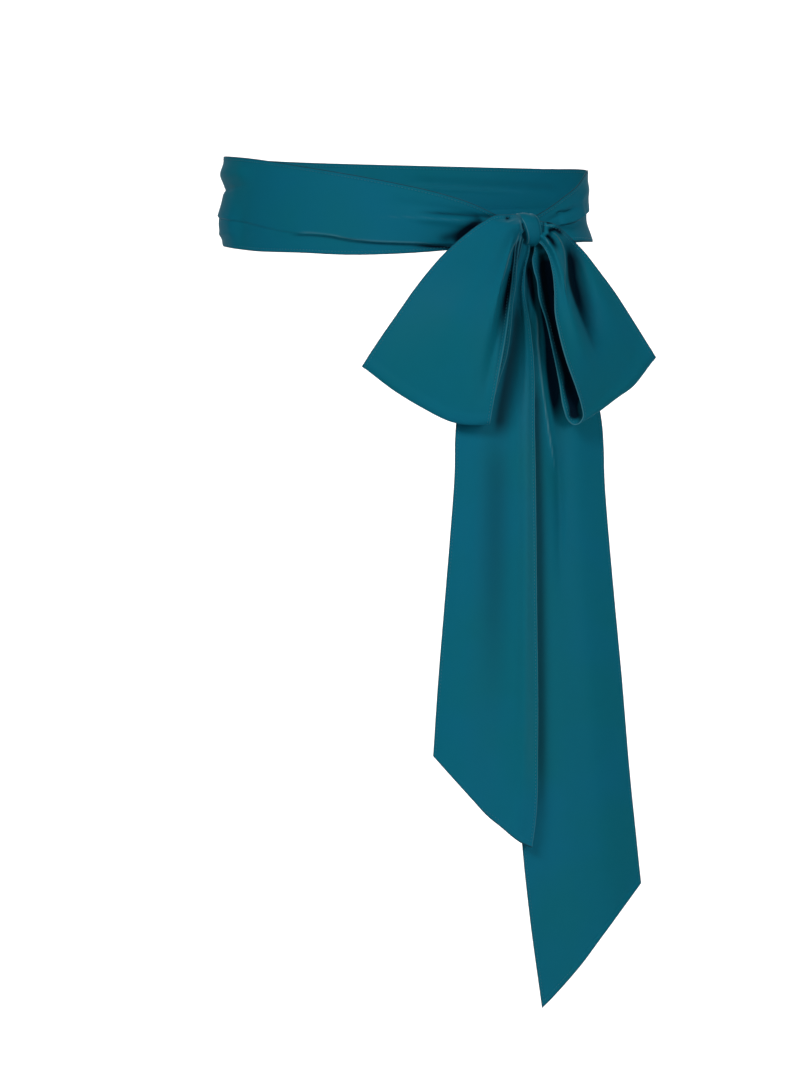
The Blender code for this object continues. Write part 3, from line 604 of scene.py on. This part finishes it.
def creases(table, u, v, breadth):
    """Sum of soft ridges and troughs that run from the knot: height times a bell curve across, faded along.

    Where the cloth is gathered narrow, CREASE_STEEPEST keeps a crease so low that the cloth doesn't cross
    itself: the height is multiplied by the limit and divided by the sum of both.
    """
    total = np.zeros(np.broadcast(u, v).shape)
    for near, far, first, last, height, half_width in table:
        middle = near + (far - near) * v
        fade = smooth((v - first) / CREASE_START) * (1 - smooth((v - last + CREASE_END) / CREASE_END))
        most = CREASE_STEEPEST * (half_width * breadth) ** 2
        kept = height * most / (most + abs(height))
        total = total + kept * fade * np.exp(-(((u - middle) / half_width) ** 2))
    return total


def beside_line(points, fade_in, fade_out, across, up):
    """Distance to the left of a drawn line at each place, negative to its right, and its fade along it."""
    flat = np.stack([across.ravel(), up.ravel()], axis=-1)
    rows = np.array(points, float)
    at = run_along(rows)
    path = through(at, rows, np.linspace(0, at[-1], LINE_SAMPLES))
    step = np.diff(path, axis=0)
    length = np.linalg.norm(step, axis=1)
    run = run_along(path)
    apart = flat[:, None] - path[:-1]
    share = np.clip((apart * step).sum(axis=2) / length**2, 0, 1)
    away = apart - share[..., None] * step
    distance = np.linalg.norm(away, axis=2)
    nearest = distance.argmin(axis=1)
    pick = np.arange(len(flat))
    side = step[nearest, 0] * away[pick, nearest, 1] - step[nearest, 1] * away[pick, nearest, 0]
    along = run[nearest] + share[pick, nearest] * length[nearest]
    fade = smooth(along / fade_in) * smooth((run[-1] - along) / fade_out)
    beside = np.where(side > 0, 1, -1) * distance[pick, nearest]
    return beside.reshape(across.shape), fade.reshape(across.shape)


def line_creases(lines, across, up):
    """Sum of creases along drawn lines: height times a bell curve of the distance to the line."""
    total = np.zeros(across.shape)
    for height, left, right, fade_in, fade_out, *points in lines:
        beside, fade = beside_line(points, fade_in, fade_out, across, up)
        total += height * fade * np.exp(-((beside / np.where(beside > 0, left, right)) ** 2))
    return total


def line_steps(lines, across, up):
    """Sum of folded edges along drawn lines: a soft step up on the line's left, which sinks back beyond."""
    total = np.zeros(across.shape)
    for height, soft, reach, fade_in, fade_out, *points in lines:
        beside, fade = beside_line(points, fade_in, fade_out, across, up)
        sunk = np.exp(-np.maximum(0, beside) / reach)
        total += height * fade * smooth((beside + soft) / (2 * soft)) * sunk
    return total


def inner(count):
    """Even shares between 0 and 1, without the two ends of their count, as a column."""
    return np.linspace(0, 1, count)[1:-1, None]


def hem_shares(breadth):
    """Shares of a breadth at which a hem has its points: HEM_STEPS, closer where cloth is gathered narrow."""
    return np.array(HEM_STEPS)[:, None] * np.minimum(1, breadth / HEM_GATHERED) / breadth


def shares_across(breadth, count):
    """Shares of width for each column of points: close together at both hems, then even between them."""
    steps = hem_shares(breadth)
    between = steps[-1] + inner(count + 2) * (1 - 2 * steps[-1])
    return np.concatenate([steps, between, 1 - steps[::-1]])


def from_edge(u, breadth):
    """Distance to the nearer edge, as it is before the cloth is gathered narrow."""
    return np.minimum(u, 1 - u) * np.maximum(breadth, HEM_GATHERED)


def lip_painted_shading(rim, painted_shading):
    """Painted shading of a lip: whole up to the first distance of LIP_TONED from the edge, gone at the
    second.
    """
    whole, gone = LIP_TONED
    return painted_shading * np.clip((gone - rim) / (gone - whole), 0, 1)


def half_thickness(rim):
    """Half of the cloth's thickness at a distance from its edge: round lip, flat hem, drop, plain cloth."""
    lip = np.sqrt(1 - (1 - np.clip(rim / HEM_LIP, 0, 1)) ** 2)
    drop = smooth((rim - HEM_WIDTH + HEM_DROP) / HEM_DROP)
    return (HEM_THICK + (SHEET - HEM_THICK) * drop) / 2 * np.maximum(lip, LIP_LEAST)


def ruled(left, right, far_end, u, v, bent_from):
    """Surface between two edges: left + u (right - left), bent from the share bent_from on to its far end."""
    one = edge(left, v)
    points = one + u[..., None] * (edge(right, v) - one)
    bent = smooth((v - bent_from) / (1 - bent_from))
    points[..., 1] += column(far_end, u, 1) * bent
    return points


def breadth_between(left, right, v):
    """Distance between two edges at each share v of their length, seen from the front."""
    return np.linalg.norm((edge(right, v) - edge(left, v))[:, :2], axis=1)


def normals(middle):
    """Direction square to a grid of points: the cross product of its two runs, at length 1."""
    return unit(np.cross(np.gradient(middle, axis=0), np.gradient(middle, axis=1)))


def grid_quads(rows, columns, first):
    """Quads over a grid of points numbered row by row from first."""
    a = first + np.arange(rows - 1)[:, None] * columns + np.arange(columns - 1)
    return np.stack([a, a + columns, a + columns + 1, a + 1], axis=-1).reshape(-1, 4)


def linked(name, data, place=(0, 0, 0), turned=(0, 0, 0)):
    """Puts data into the scene as an object, at a place and turned."""
    made = bpy.data.objects.new(name, data)
    made.location = place
    made.rotation_euler = turned
    bpy.context.scene.collection.objects.link(made)
    return made


def mesh_object(name, points, faces, finish, flat=None, marks=()):
    """Object at the origin from points in millimetres, shaded smooth, riding on the one body.

    flat gives the points' places on the flat cloth, as a UV map in metres. marks are named values of points.
    """
    mesh = bpy.data.meshes.new(name)
    mesh.from_pydata((points * MM).tolist(), [], faces)
    mesh.update()
    mesh.shade_smooth()
    if flat is not None:
        corners = np.empty(len(mesh.loops), np.int32)
        mesh.loops.foreach_get("vertex_index", corners)
        layer = mesh.uv_layers.new(name="flat")
        layer.data.foreach_set("uv", (flat[corners] * MM).astype(np.float32).ravel())
    for mark, values in marks:
        kept = mesh.attributes.new(mark, "FLOAT", "POINT")
        kept.data.foreach_set("value", values.astype(np.float32).ravel())
    mesh.materials.append(finish)
    made = linked(name, mesh)
    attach(made, BODY)
    return made


def shell(name, middle, rim, painted_shading, cloth):
    """Closed thin cloth round a grid of points: half its thickness to each side, and a strip along its rim.

    Its painted shading is whole on the side that faces the front and TONE_BEHIND of that on the other.
    """
    rows, columns = middle.shape[:2]
    half = rows * columns
    square = normals(middle)
    out = square * half_thickness(rim)[..., None]
    points = np.concatenate([(middle + out).reshape(-1, 3), (middle - out).reshape(-1, 3)])
    front = grid_quads(rows, columns, 0)
    back = grid_quads(rows, columns, half)[:, ::-1]
    number = np.arange(half).reshape(rows, columns)
    ring = np.concatenate([number[0, :-1], number[:-1, -1], number[-1, :0:-1], number[:0:-1, 0]])
    following = np.roll(ring, -1)
    strip = np.stack([ring, following, following + half, ring + half], axis=-1)
    quads = np.concatenate([front, back, strip]).tolist()
    flat = np.tile(flat_measures(middle).reshape(-1, 2), (2, 1))
    ahead = np.concatenate([-square[..., 1].ravel(), square[..., 1].ravel()])
    # Painted shade and highlight stay whole where the cloth faces the front and fade to TONE_BEHIND elsewhere
    in_front = smooth((ahead + TONE_TURNED) / (2 * TONE_TURNED))
    painted_shading_kept = np.tile(painted_shading.ravel(), 2) * (TONE_BEHIND + (1 - TONE_BEHIND) * in_front)
    marks = (("rim", np.tile(rim.ravel(), 2)), ("painted_shading", painted_shading_kept))
    return mesh_object(name, points, quads, cloth, flat, marks)


def stitch_row(path, out, quads_from):
    """Small capsules along a path, STITCH_PITCH apart, each on the side that out points to.

    A capsule is two rings of points round its middle line and a tip at each end, joined by quads and
    triangles.
    """
    run = run_along(path)
    count = int(run[-1] // STITCH_PITCH)
    at = (np.arange(count)[:, None] + 0.5) * STITCH_PITCH

    def read(line, place):
        """A line's points at distances along the path."""
        return np.stack([np.interp(place, run, line[:, k]) for k in range(3)], axis=-1)

    middle = read(path, at)
    normal = unit(read(out, at))
    along = unit(read(path, at + STITCH_AHEAD) - middle)
    turn = np.linspace(0, 2 * np.pi, STITCH_SIDES, endpoint=False)[:, None]
    sides = np.cos(turn) * np.cross(along, normal) + np.sin(turn) * normal
    reach = along * STITCH_LONG / 2
    rings = [middle + share * reach + sides * STITCH_THICK / 2 for share in (-STITCH_EVEN, STITCH_EVEN)]
    tips = [middle + share * reach - normal * STITCH_THICK / 2 for share in (-1, 1)]
    points = np.concatenate(rings + tips, axis=1)
    a = np.arange(STITCH_SIDES)
    b = (a + 1) % STITCH_SIDES
    low = np.full(STITCH_SIDES, 2 * STITCH_SIDES)
    tube = np.stack([a, b, b + STITCH_SIDES, a + STITCH_SIDES], axis=-1)
    near = np.stack([low, b, a], axis=-1)
    far = np.stack([low + 1, a + STITCH_SIDES, b + STITCH_SIDES], axis=-1)
    each = points.shape[1]
    offset = (quads_from + np.arange(count) * each)[:, None, None]
    tubes = (tube + offset).reshape(-1, 4)
    ends = (np.concatenate([near, far]) + offset).reshape(-1, 3)
    return points.reshape(-1, 3), tubes, ends


def at_rim(middle, rim, rows, distance):
    """Line along a grid at a distance from its edge, read between the rows on each side of it."""
    order = rim[rows]
    last = len(order) - 1
    j = np.arange(order.shape[1])
    share = np.stack([np.interp(distance, column_rim, np.arange(last + 1)) for column_rim in order.T])
    low = np.floor(share).astype(int)
    part = (share - low)[:, None]
    grid = middle[rows]
    return grid[low, j] * (1 - part) + grid[np.minimum(low + 1, last), j] * part


def stitches(name, middle, rim, thread):
    """Both faces' stitches along the two long hems of a shell, as one mesh."""
    normal = normals(middle)
    half = len(middle) // 2
    points, quads, ends = [], [], []
    total = 0
    for rows in (slice(0, half), slice(None, half, -1)):
        path = at_rim(middle, rim, rows, STITCH_FROM_EDGE)
        facing = at_rim(normal, rim, rows, STITCH_FROM_EDGE)
        for side in (1, -1):
            out = facing * side
            raised = path + out * (HEM_THICK / 2 + STITCH_THICK * STITCH_PROUD)
            made, tubes, caps = stitch_row(raised, out, total)
            points.append(made)
            quads += tubes.tolist()
            ends += caps.tolist()
            total += len(made)
    return mesh_object(name, np.concatenate(points), quads + ends, thread)


def flat_measures(middle):
    """Distance across and along the cloth at each point, added up from its steps, as a UV map."""
    across = np.cumsum(np.linalg.norm(np.diff(middle, axis=0, prepend=middle[:1]), axis=2), axis=0)
    along = np.cumsum(np.linalg.norm(np.diff(middle, axis=1, prepend=middle[:, :1]), axis=2), axis=1)
    return np.stack([across, along.mean(axis=0) + 0 * along], axis=-1)


def band_points():
    """Middle of the waist band: height share by degrees round an ellipse, set out by pleats and creases."""
    turn = np.linspace(0, BAND_TURN, BAND_COLUMNS)
    bottom = column(BAND_EDGES, turn, 1)
    tall = column(BAND_EDGES, turn, 2) - bottom
    lip = column(BAND_OVERLAP, turn, 1)
    stand = column(BAND_OVERLAP, turn, 2)
    hem = hem_shares(tall)
    least = hem[-1] + BAND_HEM_GAP
    step = BAND_STEP / tall
    below = hem[-1] + inner(BAND_ROWS_BELOW) * (np.maximum(lip - step, least) - hem[-1])
    at_step = lip + np.linspace(-1, 1, BAND_ROWS_STEP)[:, None] * step
    at_step = np.maximum(at_step, least + BAND_ROW_GAP * np.arange(BAND_ROWS_STEP)[:, None])
    above = at_step[-1] + inner(BAND_ROWS_ABOVE) * (1 - hem[-1] - at_step[-1])
    share = np.concatenate([hem, below, at_step, above, 1 - hem[::-1]])
    turned = turn + 0 * share
    above_lip = share - lip
    over = smooth((above_lip + step) / (2 * step))
    fall = np.exp(-np.maximum(0, above_lip) / BAND_OVERLAP_REACH)
    out = 1 + stand * over * (BAND_OVERLAP_LEFT + (1 - BAND_OVERLAP_LEFT) * fall)
    for first, low, last, high, height, half_width in BAND_PLEATS:
        middle = low + (high - low) * (turned - first) / (last - first)
        fade = smooth((turned - first) / BAND_PLEAT_FADE) * smooth((last - turned) / BAND_PLEAT_FADE)
        out = out + height * fade * np.exp(-(((share - middle) / half_width) ** 2))
    for first, rise_over, last, fall_over, height, up_to in BAND_FOOT:
        fade = smooth((turned - first) / rise_over) * (1 - smooth((turned - last) / fall_over))
        out = out + height * fade * smooth((up_to - share) / up_to)
    z = bottom + tall * share
    round_ = turned * BAND_MM_PER_DEGREE
    out = out + line_creases(in_mm(BAND_LINES), round_, z) + line_steps(in_mm(BAND_STEPS), round_, z)
    angle = np.radians(BAND_START - turned)
    sine, cosine = np.sin(angle), -np.cos(angle)
    direction = unit(np.stack([sine / BAND_HALF_BREADTH, cosine / BAND_HALF_DEPTH], axis=-1))
    x = BAND_HALF_BREADTH * sine + direction[..., 0] * out
    y = BAND_HALF_DEPTH * cosine + direction[..., 1] * out
    rim = from_edge(share, tall)
    # Painted shade, shadow and highlight of the band, and painted shade along its lips
    painted_shading = line_creases(in_mm(BAND_PAINTED_SHADING), round_, z) + lip_painted_shading(rim, OUTLINE_PAINTED_SHADE)
    return np.stack([x, y, z], axis=-1), rim, painted_shading


def in_mm(lines):
    """Lines of the band with their degrees turned into millimetres round it."""
    return [(*line[:5], *((turn * BAND_MM_PER_DEGREE, up) for turn, up in line[5:])) for line in lines]


def layer_points(layer, u, v, bent_from):
    """Points of a layer of cloth, ruled between its edges and set forward by its creases, and its painted
    shading.
    """
    edges, far_end, main_creases, lines, steps, painted_shading_lines = layer
    points = ruled(*edges, far_end, u, v, bent_from)
    seen = points[..., 0], points[..., 1]
    points[..., 2] += creases(main_creases, u, v, breadth_between(*edges, v))
    points[..., 2] += line_creases(lines, *seen) + line_steps(steps, *seen)
    return points, line_creases(painted_shading_lines, *seen)


def loop_points(front_layer, back_layer, fold_half):
    """Middle of a loop's cloth: back layer out from the knot, round the fold, front layer back to the knot.

    The front layer swells out by a sine of its length. Near the fold the layers keep fold_half apart, and
    then meet in a half round.
    """
    straight = LOOP_FOLD_FROM * np.linspace(0, 1, LOOP_ROWS) ** ROWS_CLOSER
    bend = np.linspace(0, np.pi / 2, FOLD_ROWS + 1)[1:]
    v = np.concatenate([straight, LOOP_FOLD_FROM + (1 - LOOP_FOLD_FROM) * np.sin(bend)])
    gape = np.concatenate([np.ones(LOOP_ROWS), np.cos(bend)])
    breadth = (breadth_between(*front_layer[0], v) + breadth_between(*back_layer[0], v)) / 2
    u = shares_across(breadth, LOOP_COLUMNS)
    front, front_painted_shading = layer_points(front_layer, u, v, FOLD_SAG_FROM)
    back, back_painted_shading = layer_points(back_layer, u, v, FOLD_SAG_FROM)
    front[..., 2] += LOOP_SWELL * np.sin(np.pi * v) * (LOOP_SWELL_OUTER + (1 - LOOP_SWELL_OUTER) * u)
    middle = (front + back) / 2
    half = (front - back) / 2
    least = (fold_half[0] + (fold_half[1] - fold_half[0]) * u)[..., None] * (0, 0, 1)
    opened = np.maximum(np.abs(half), least) * np.where(half < 0, -1, 1)
    near_fold = smooth((v - LOOP_OPENED_FROM) / (LOOP_OPENED_AT - LOOP_OPENED_FROM))[:, None]
    half = (half + (opened - half) * near_fold) * gape[:, None]
    rim = from_edge(u, breadth)
    # Painted shade along the lip of the outer edge, painted highlight along the lip of the inner edge
    lips = lip_painted_shading(rim, np.where(u < 0.5, OUTLINE_PAINTED_SHADE, FOLD_PAINTED_HIGHLIGHT))
    points = np.concatenate([middle - half, (middle + half)[:, -2::-1]], axis=1)
    rim = np.concatenate([rim, rim[:, -2::-1]], axis=1)
    painted_shading = np.concatenate([back_painted_shading + lips, (front_painted_shading + lips)[:, -2::-1]], axis=1)
    return placed(points), rim, painted_shading


def tail_points(layer, slant, right_lip):
    """Middle of a tail's cloth: ruled between its edges from under the knot to its slanted, hemmed cut."""
    left, right = layer[0]
    length = (edge_length(left) + edge_length(right)) / 2
    hem = np.array(HEM_STEPS[::-1]) / slant / length
    rows = np.linspace(0, 1, TAIL_ROWS)[:-1] ** TAIL_ROWS_CLOSER
    v = np.concatenate([(1 - hem[0]) * rows, 1 - hem])
    breadth = breadth_between(left, right, v)
    u = shares_across(breadth, TAIL_COLUMNS)
    points, painted_shading = layer_points(layer, u, v, CUT_BOW_FROM)
    side = from_edge(u, breadth)
    rim = np.minimum(side, (1 - v) * length * slant)
    # Painted shade along the lips of the outlines; the right lip gets right_lip, a painted highlight on the
    # front tail
    lips = np.where((rim == side) & (u > 0.5), right_lip, OUTLINE_PAINTED_SHADE)
    return placed(points), rim, painted_shading + lip_painted_shading(rim, lips)


def squared(wave, power):
    """Makes a sine or cosine fuller, which turns a circle into a soft square."""
    return np.sign(wave) * np.abs(wave) ** power


def knot_points():
    """Knot as a barrel between two slanted planes: rings from left to right, two tips and its painted
    shading.
    """
    beta = np.linspace(-KNOT_END_TURN, KNOT_END_TURN, KNOT_RINGS)
    turn = np.linspace(0, 2 * np.pi, KNOT_COLUMNS, endpoint=False)
    along = squared(np.sin(beta), KNOT_FULLNESS)[:, None]
    girth = np.cos(beta)[:, None] ** KNOT_FULLNESS * (1 - KNOT_TAPER * along**2)
    girth = girth * (1 + KNOT_PLEAT * np.cos(KNOT_PLEAT_WAVE * along + KNOT_PLEAT_TWIST * np.sin(turn)))
    reach = np.where(np.cos(turn) > 0, KNOT_FRONT, KNOT_BACK)
    out = girth * reach * squared(np.cos(turn), KNOT_ROUNDNESS)
    up = girth * KNOT_HALF_HEIGHT * squared(np.sin(turn), KNOT_ROUNDNESS)
    left = KNOT_LEFT + KNOT_LEFT_SLANT[0] * out + KNOT_LEFT_SLANT[1] * up
    right = KNOT_RIGHT + KNOT_RIGHT_SLANT[0] * out + KNOT_RIGHT_SLANT[1] * up
    side = (left + right) / 2 + along * (right - left) / 2
    rings = knot_place(side, up, out)
    tips = knot_place(np.array([KNOT_LEFT, KNOT_RIGHT]), np.zeros(2), np.zeros(2))
    # Painted shade and highlight of the knot, kept to the side that faces the front
    painted_shading = sum(amount * np.exp(-(((along - place) / half) ** 2)) for amount, place, half in KNOT_PAINTED_SHADING)
    return rings, tips, painted_shading * smooth(np.cos(turn) + TONE_TURNED)


def knot_place(side, up, out):
    """Turns the knot's own directions into x, y and z."""
    cosine, sine = np.cos(KNOT_TURN), np.sin(KNOT_TURN)
    x = KNOT_MIDDLE[0] + side * cosine + out * sine
    y = KNOT_MIDDLE[1] + side * sine - out * cosine
    return np.stack([x, y, KNOT_MIDDLE[2] + up], axis=-1)


def knot(cloth):
    """Closed barrel of the knot: quads between its rings and a fan of triangles at each tip."""
    rings, tips, painted_shading = knot_points()
    count, around = rings.shape[:2]
    j = np.arange(around)
    k = (j + 1) % around
    start = (np.arange(count - 1) * around)[:, None]
    quads = np.stack([start + j, start + k, start + k + around, start + j + around], axis=-1).reshape(-1, 4)
    first_tip = count * around
    last_ring = first_tip - around
    left_fan = np.stack([np.full(around, first_tip), k, j], axis=-1)
    right_fan = np.stack([np.full(around, first_tip + 1), last_ring + j, last_ring + k], axis=-1)
    points = np.concatenate([rings.reshape(-1, 3), tips])
    faces = quads.tolist() + left_fan.tolist() + right_fan.tolist()
    flat = np.stack([points @ (np.cos(KNOT_TURN), np.sin(KNOT_TURN), 0), points[:, 2]], axis=-1)
    marks = (("rim", np.full(len(points), HEM_WIDTH)), ("painted_shading", np.append(painted_shading.ravel(), [0, 0])))
    return mesh_object("sash_knot", points, faces, cloth, flat, marks)


class Nodes:
    """Short way to add and join the nodes of one material."""

    def __init__(self, name):
        """Makes the material with its own shader."""
        self.material = bpy.data.materials.new(name)
        self.material.use_nodes = True
        self.tree = self.material.node_tree
        self.shader = self.tree.nodes["Principled BSDF"]

    def give(self, node, inputs):
        """Gives a node its inputs, each a number, a colour or an output of another node."""
        for key, value in inputs.items():
            if isinstance(value, bpy.types.NodeSocket):
                self.tree.links.new(value, node.inputs[key])
            else:
                node.inputs[key].default_value = (*value, 1) if isinstance(value, tuple) else value

    def add(self, kind, output, inputs=None, **settings):
        """Adds a node with its settings and inputs, and returns one output."""
        node = self.tree.nodes.new("ShaderNode" + kind)
        for key, value in settings.items():
            setattr(node, key, value)
        self.give(node, inputs or {})
        return node.outputs[output]

    def math(self, operation, *values):
        """Adds one sum of one or two values."""
        return self.add("Math", "Value", dict(enumerate(values)), operation=operation)

    def mix(self, factor, low, high):
        """Adds a mix of two colours by a factor."""
        return self.add("Mix", "Result", {"Factor": factor, "A": low, "B": high}, data_type="RGBA")

    def ramp(self, value, low, high):
        """Adds a ramp from 0 at the value low to 1 at the value high."""
        return self.add("MapRange", "Result", {"Value": value, "From Min": low, "From Max": high})


def cloth_material(name):
    """Smooth teal cloth: drift between two teals, and weave and crepe as bump.

    Painted highlight lies on the lips and folded edges, and painted shade in the folds and along the
    outlines.
    """
    n = Nodes(name)
    place = n.add("TexCoord", "Object")
    drift = n.add("TexNoise", "Fac", {"Vector": place, "Scale": DRIFT_SCALE, "Detail": DRIFT_DETAIL})
    teal = n.mix(n.ramp(drift, *DRIFT_RANGE), TEAL, TEAL_GREENER)
    rim = n.add("Attribute", "Fac", attribute_name="rim")
    painted_shading = n.add("Attribute", "Fac", attribute_name="painted_shading")
    # Hem lips get some painted highlight; the point marks add painted highlight above 0 and painted shade
    # below 0
    lip = n.ramp(rim, *LIP_TONED[::-1])
    painted_highlight = n.math("MAXIMUM", n.math("MULTIPLY", lip, LIP_PAINTED_HIGHLIGHT), painted_shading)
    painted_shade = n.math("MULTIPLY", n.math("MAXIMUM", n.math("MULTIPLY", painted_shading, -1), 0), PAINTED_SHADE_SHARE)
    flat = n.add("UVMap", "UV", uv_map="flat")
    turns = 2 * np.pi / (WEAVE_PITCH * MM)
    warp, weft = (
        n.math("SINE", n.math("MULTIPLY", n.add("SeparateXYZ", axis, {0: flat}), turns)) for axis in "XY"
    )
    woven = n.math("MULTIPLY", n.math("MULTIPLY", warp, weft), WEAVE_HEIGHT)
    crepe = n.add("TexNoise", "Fac", {"Vector": place, "Scale": 1 / (CREPE_SIZE * MM)})
    relief = {
        "Height": n.math("ADD", woven, crepe),
        "Strength": RELIEF_STRENGTH,
        "Distance": RELIEF_DEPTH * MM,
    }
    n.give(n.shader, {
        "Base Color": n.mix(painted_shade, n.mix(painted_highlight, teal, TEAL_PAINTED_HIGHLIGHT), TEAL_PAINTED_SHADE),
        "Normal": n.add("Bump", "Normal", relief),
        "Roughness": CLOTH_ROUGHNESS,
        "Specular IOR Level": CLOTH_GLOSS,
        "Sheen Weight": CLOTH_SHEEN,
        "Sheen Roughness": SHEEN_ROUGHNESS,
        "Sheen Tint": SHEEN_TINT,
    })
    return n.material


def thread_material():
    """Sewing thread in the cloth's teal, a little darker, mottled by its twist."""
    n = Nodes("teal_thread")
    twist = {"Vector": n.add("TexCoord", "Object"), "Scale": 1 / (THREAD_TWIST * MM)}
    shade = n.mix(n.add("TexNoise", "Fac", twist), THREAD_DARK, THREAD_PALE)
    n.give(n.shader, {"Base Color": shade, "Roughness": THREAD_ROUGHNESS})
    return n.material


def stage_sweep():
    """Pale floor that curves up into a wall behind: floor, quarter round and wall, swept sideways."""
    quarter = np.linspace(0, np.pi / 2, SWEEP_STEPS)
    curve = WALL_BEHIND - SWEEP_RADIUS + SWEEP_RADIUS * np.sin(quarter)
    x = np.array([[-FLOOR_HALF_BREADTH], [FLOOR_HALF_BREADTH]])
    y = np.concatenate([[-FLOOR_AHEAD], curve, [WALL_BEHIND]])
    z = np.concatenate([[FLOOR], FLOOR + SWEEP_RADIUS * (1 - np.cos(quarter)), [WALL_TOP]])
    grid = np.stack(np.broadcast_arrays(x, y, z), axis=-1)
    mesh = bpy.data.meshes.new("studio_sweep")
    mesh.from_pydata(grid.reshape(-1, 3).tolist(), [], grid_quads(2, len(y), 0).tolist())
    mesh.shade_smooth()
    n = Nodes("pale_paper")
    n.give(n.shader, {"Base Color": PAPER, "Roughness": PAPER_ROUGHNESS})
    mesh.materials.append(n.material)
    linked("studio_sweep", mesh)


def area_light(name, place, turned, size, power):
    """Square soft light, which shines along its own -Z and isn't seen itself."""
    light = bpy.data.lights.new(name, "AREA")
    light.energy = power
    light.size = size
    linked(name, light, place, turned).visible_camera = False


def looking(azimuth, elevation, distance):
    """Place and turn of what looks at the target from degrees to the right, degrees up and a distance."""
    round_, up = np.radians(azimuth), np.radians(elevation)
    away = np.array([np.sin(round_) * np.cos(up), -np.cos(round_) * np.cos(up), np.sin(up)])
    return away * distance + TARGET, (np.pi / 2 - up, 0, round_)


def studio():
    """Soft white world, three lights that look at the sash, one for the wall, and the pale sweep."""
    world = bpy.data.worlds.new("studio")
    bpy.context.scene.world = world
    world.use_nodes = True
    background = world.node_tree.nodes["Background"]
    background.inputs["Color"].default_value = (*WHITE, 1)
    background.inputs["Strength"].default_value = AMBIENT
    for name, azimuth, elevation, distance, size, power in LIGHTS:
        area_light(name, *looking(azimuth, elevation, distance), size, power)
    area_light("wall_light", WALL_LIGHT_PLACE, (WALL_LIGHT_TILT, 0, 0), WALL_LIGHT_SIZE, WALL_LIGHT_POWER)
    stage_sweep()


def camera():
    """Camera in front, a little above, in the photograph's frame: PIXEL millimetres a pixel at the target."""
    data = bpy.data.cameras.new("camera")
    data.sensor_fit = "VERTICAL"
    data.sensor_width = SENSOR
    data.sensor_height = SENSOR
    data.lens = SENSOR * CAMERA_DISTANCE / (PHOTO_HEIGHT * PIXEL * MM)
    bpy.context.scene.camera = linked("camera", data, *looking(0, CAMERA_ELEVATION, CAMERA_DISTANCE))


def stretch(node, grid, cloth, thread):
    """One stretch of the sash: its shell in place of the solid, its stitches, and its cut when laid flat."""
    middle, rim, painted_shading = grid
    piece = shell(node + "_cloth", middle, rim, painted_shading, cloth)
    sewn = stitches(node + "_stitches", middle, rim, thread)
    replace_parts(piece, node)


def main():
    """The camera and studio, then the sash from its band to its knot."""
    bpy.context.scene.view_settings.view_transform = "Standard"
    camera()
    studio()
    cloth = cloth_material("teal_cloth")
    thread = thread_material()
    left_loop = loop_points(LEFT_FRONT, LEFT_BACK, LEFT_FOLD_HALF)
    right_loop = loop_points(RIGHT_FRONT, RIGHT_BACK, RIGHT_FOLD_HALF)
    front_tail = tail_points(FRONT_TAIL, FRONT_CUT_SLANT, FOLD_PAINTED_HIGHLIGHT)
    rear_tail = tail_points(REAR_TAIL, REAR_CUT_SLANT, OUTLINE_PAINTED_SHADE)
    stretch("waist_band", band_points(), cloth, thread)
    stretch("left_loop", left_loop, cloth, thread)
    stretch("right_loop", right_loop, cloth, thread)
    stretch("front_tail", front_tail, cloth, thread)
    stretch("rear_tail", rear_tail, cloth, thread)
    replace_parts(knot(cloth), "knot")


main()
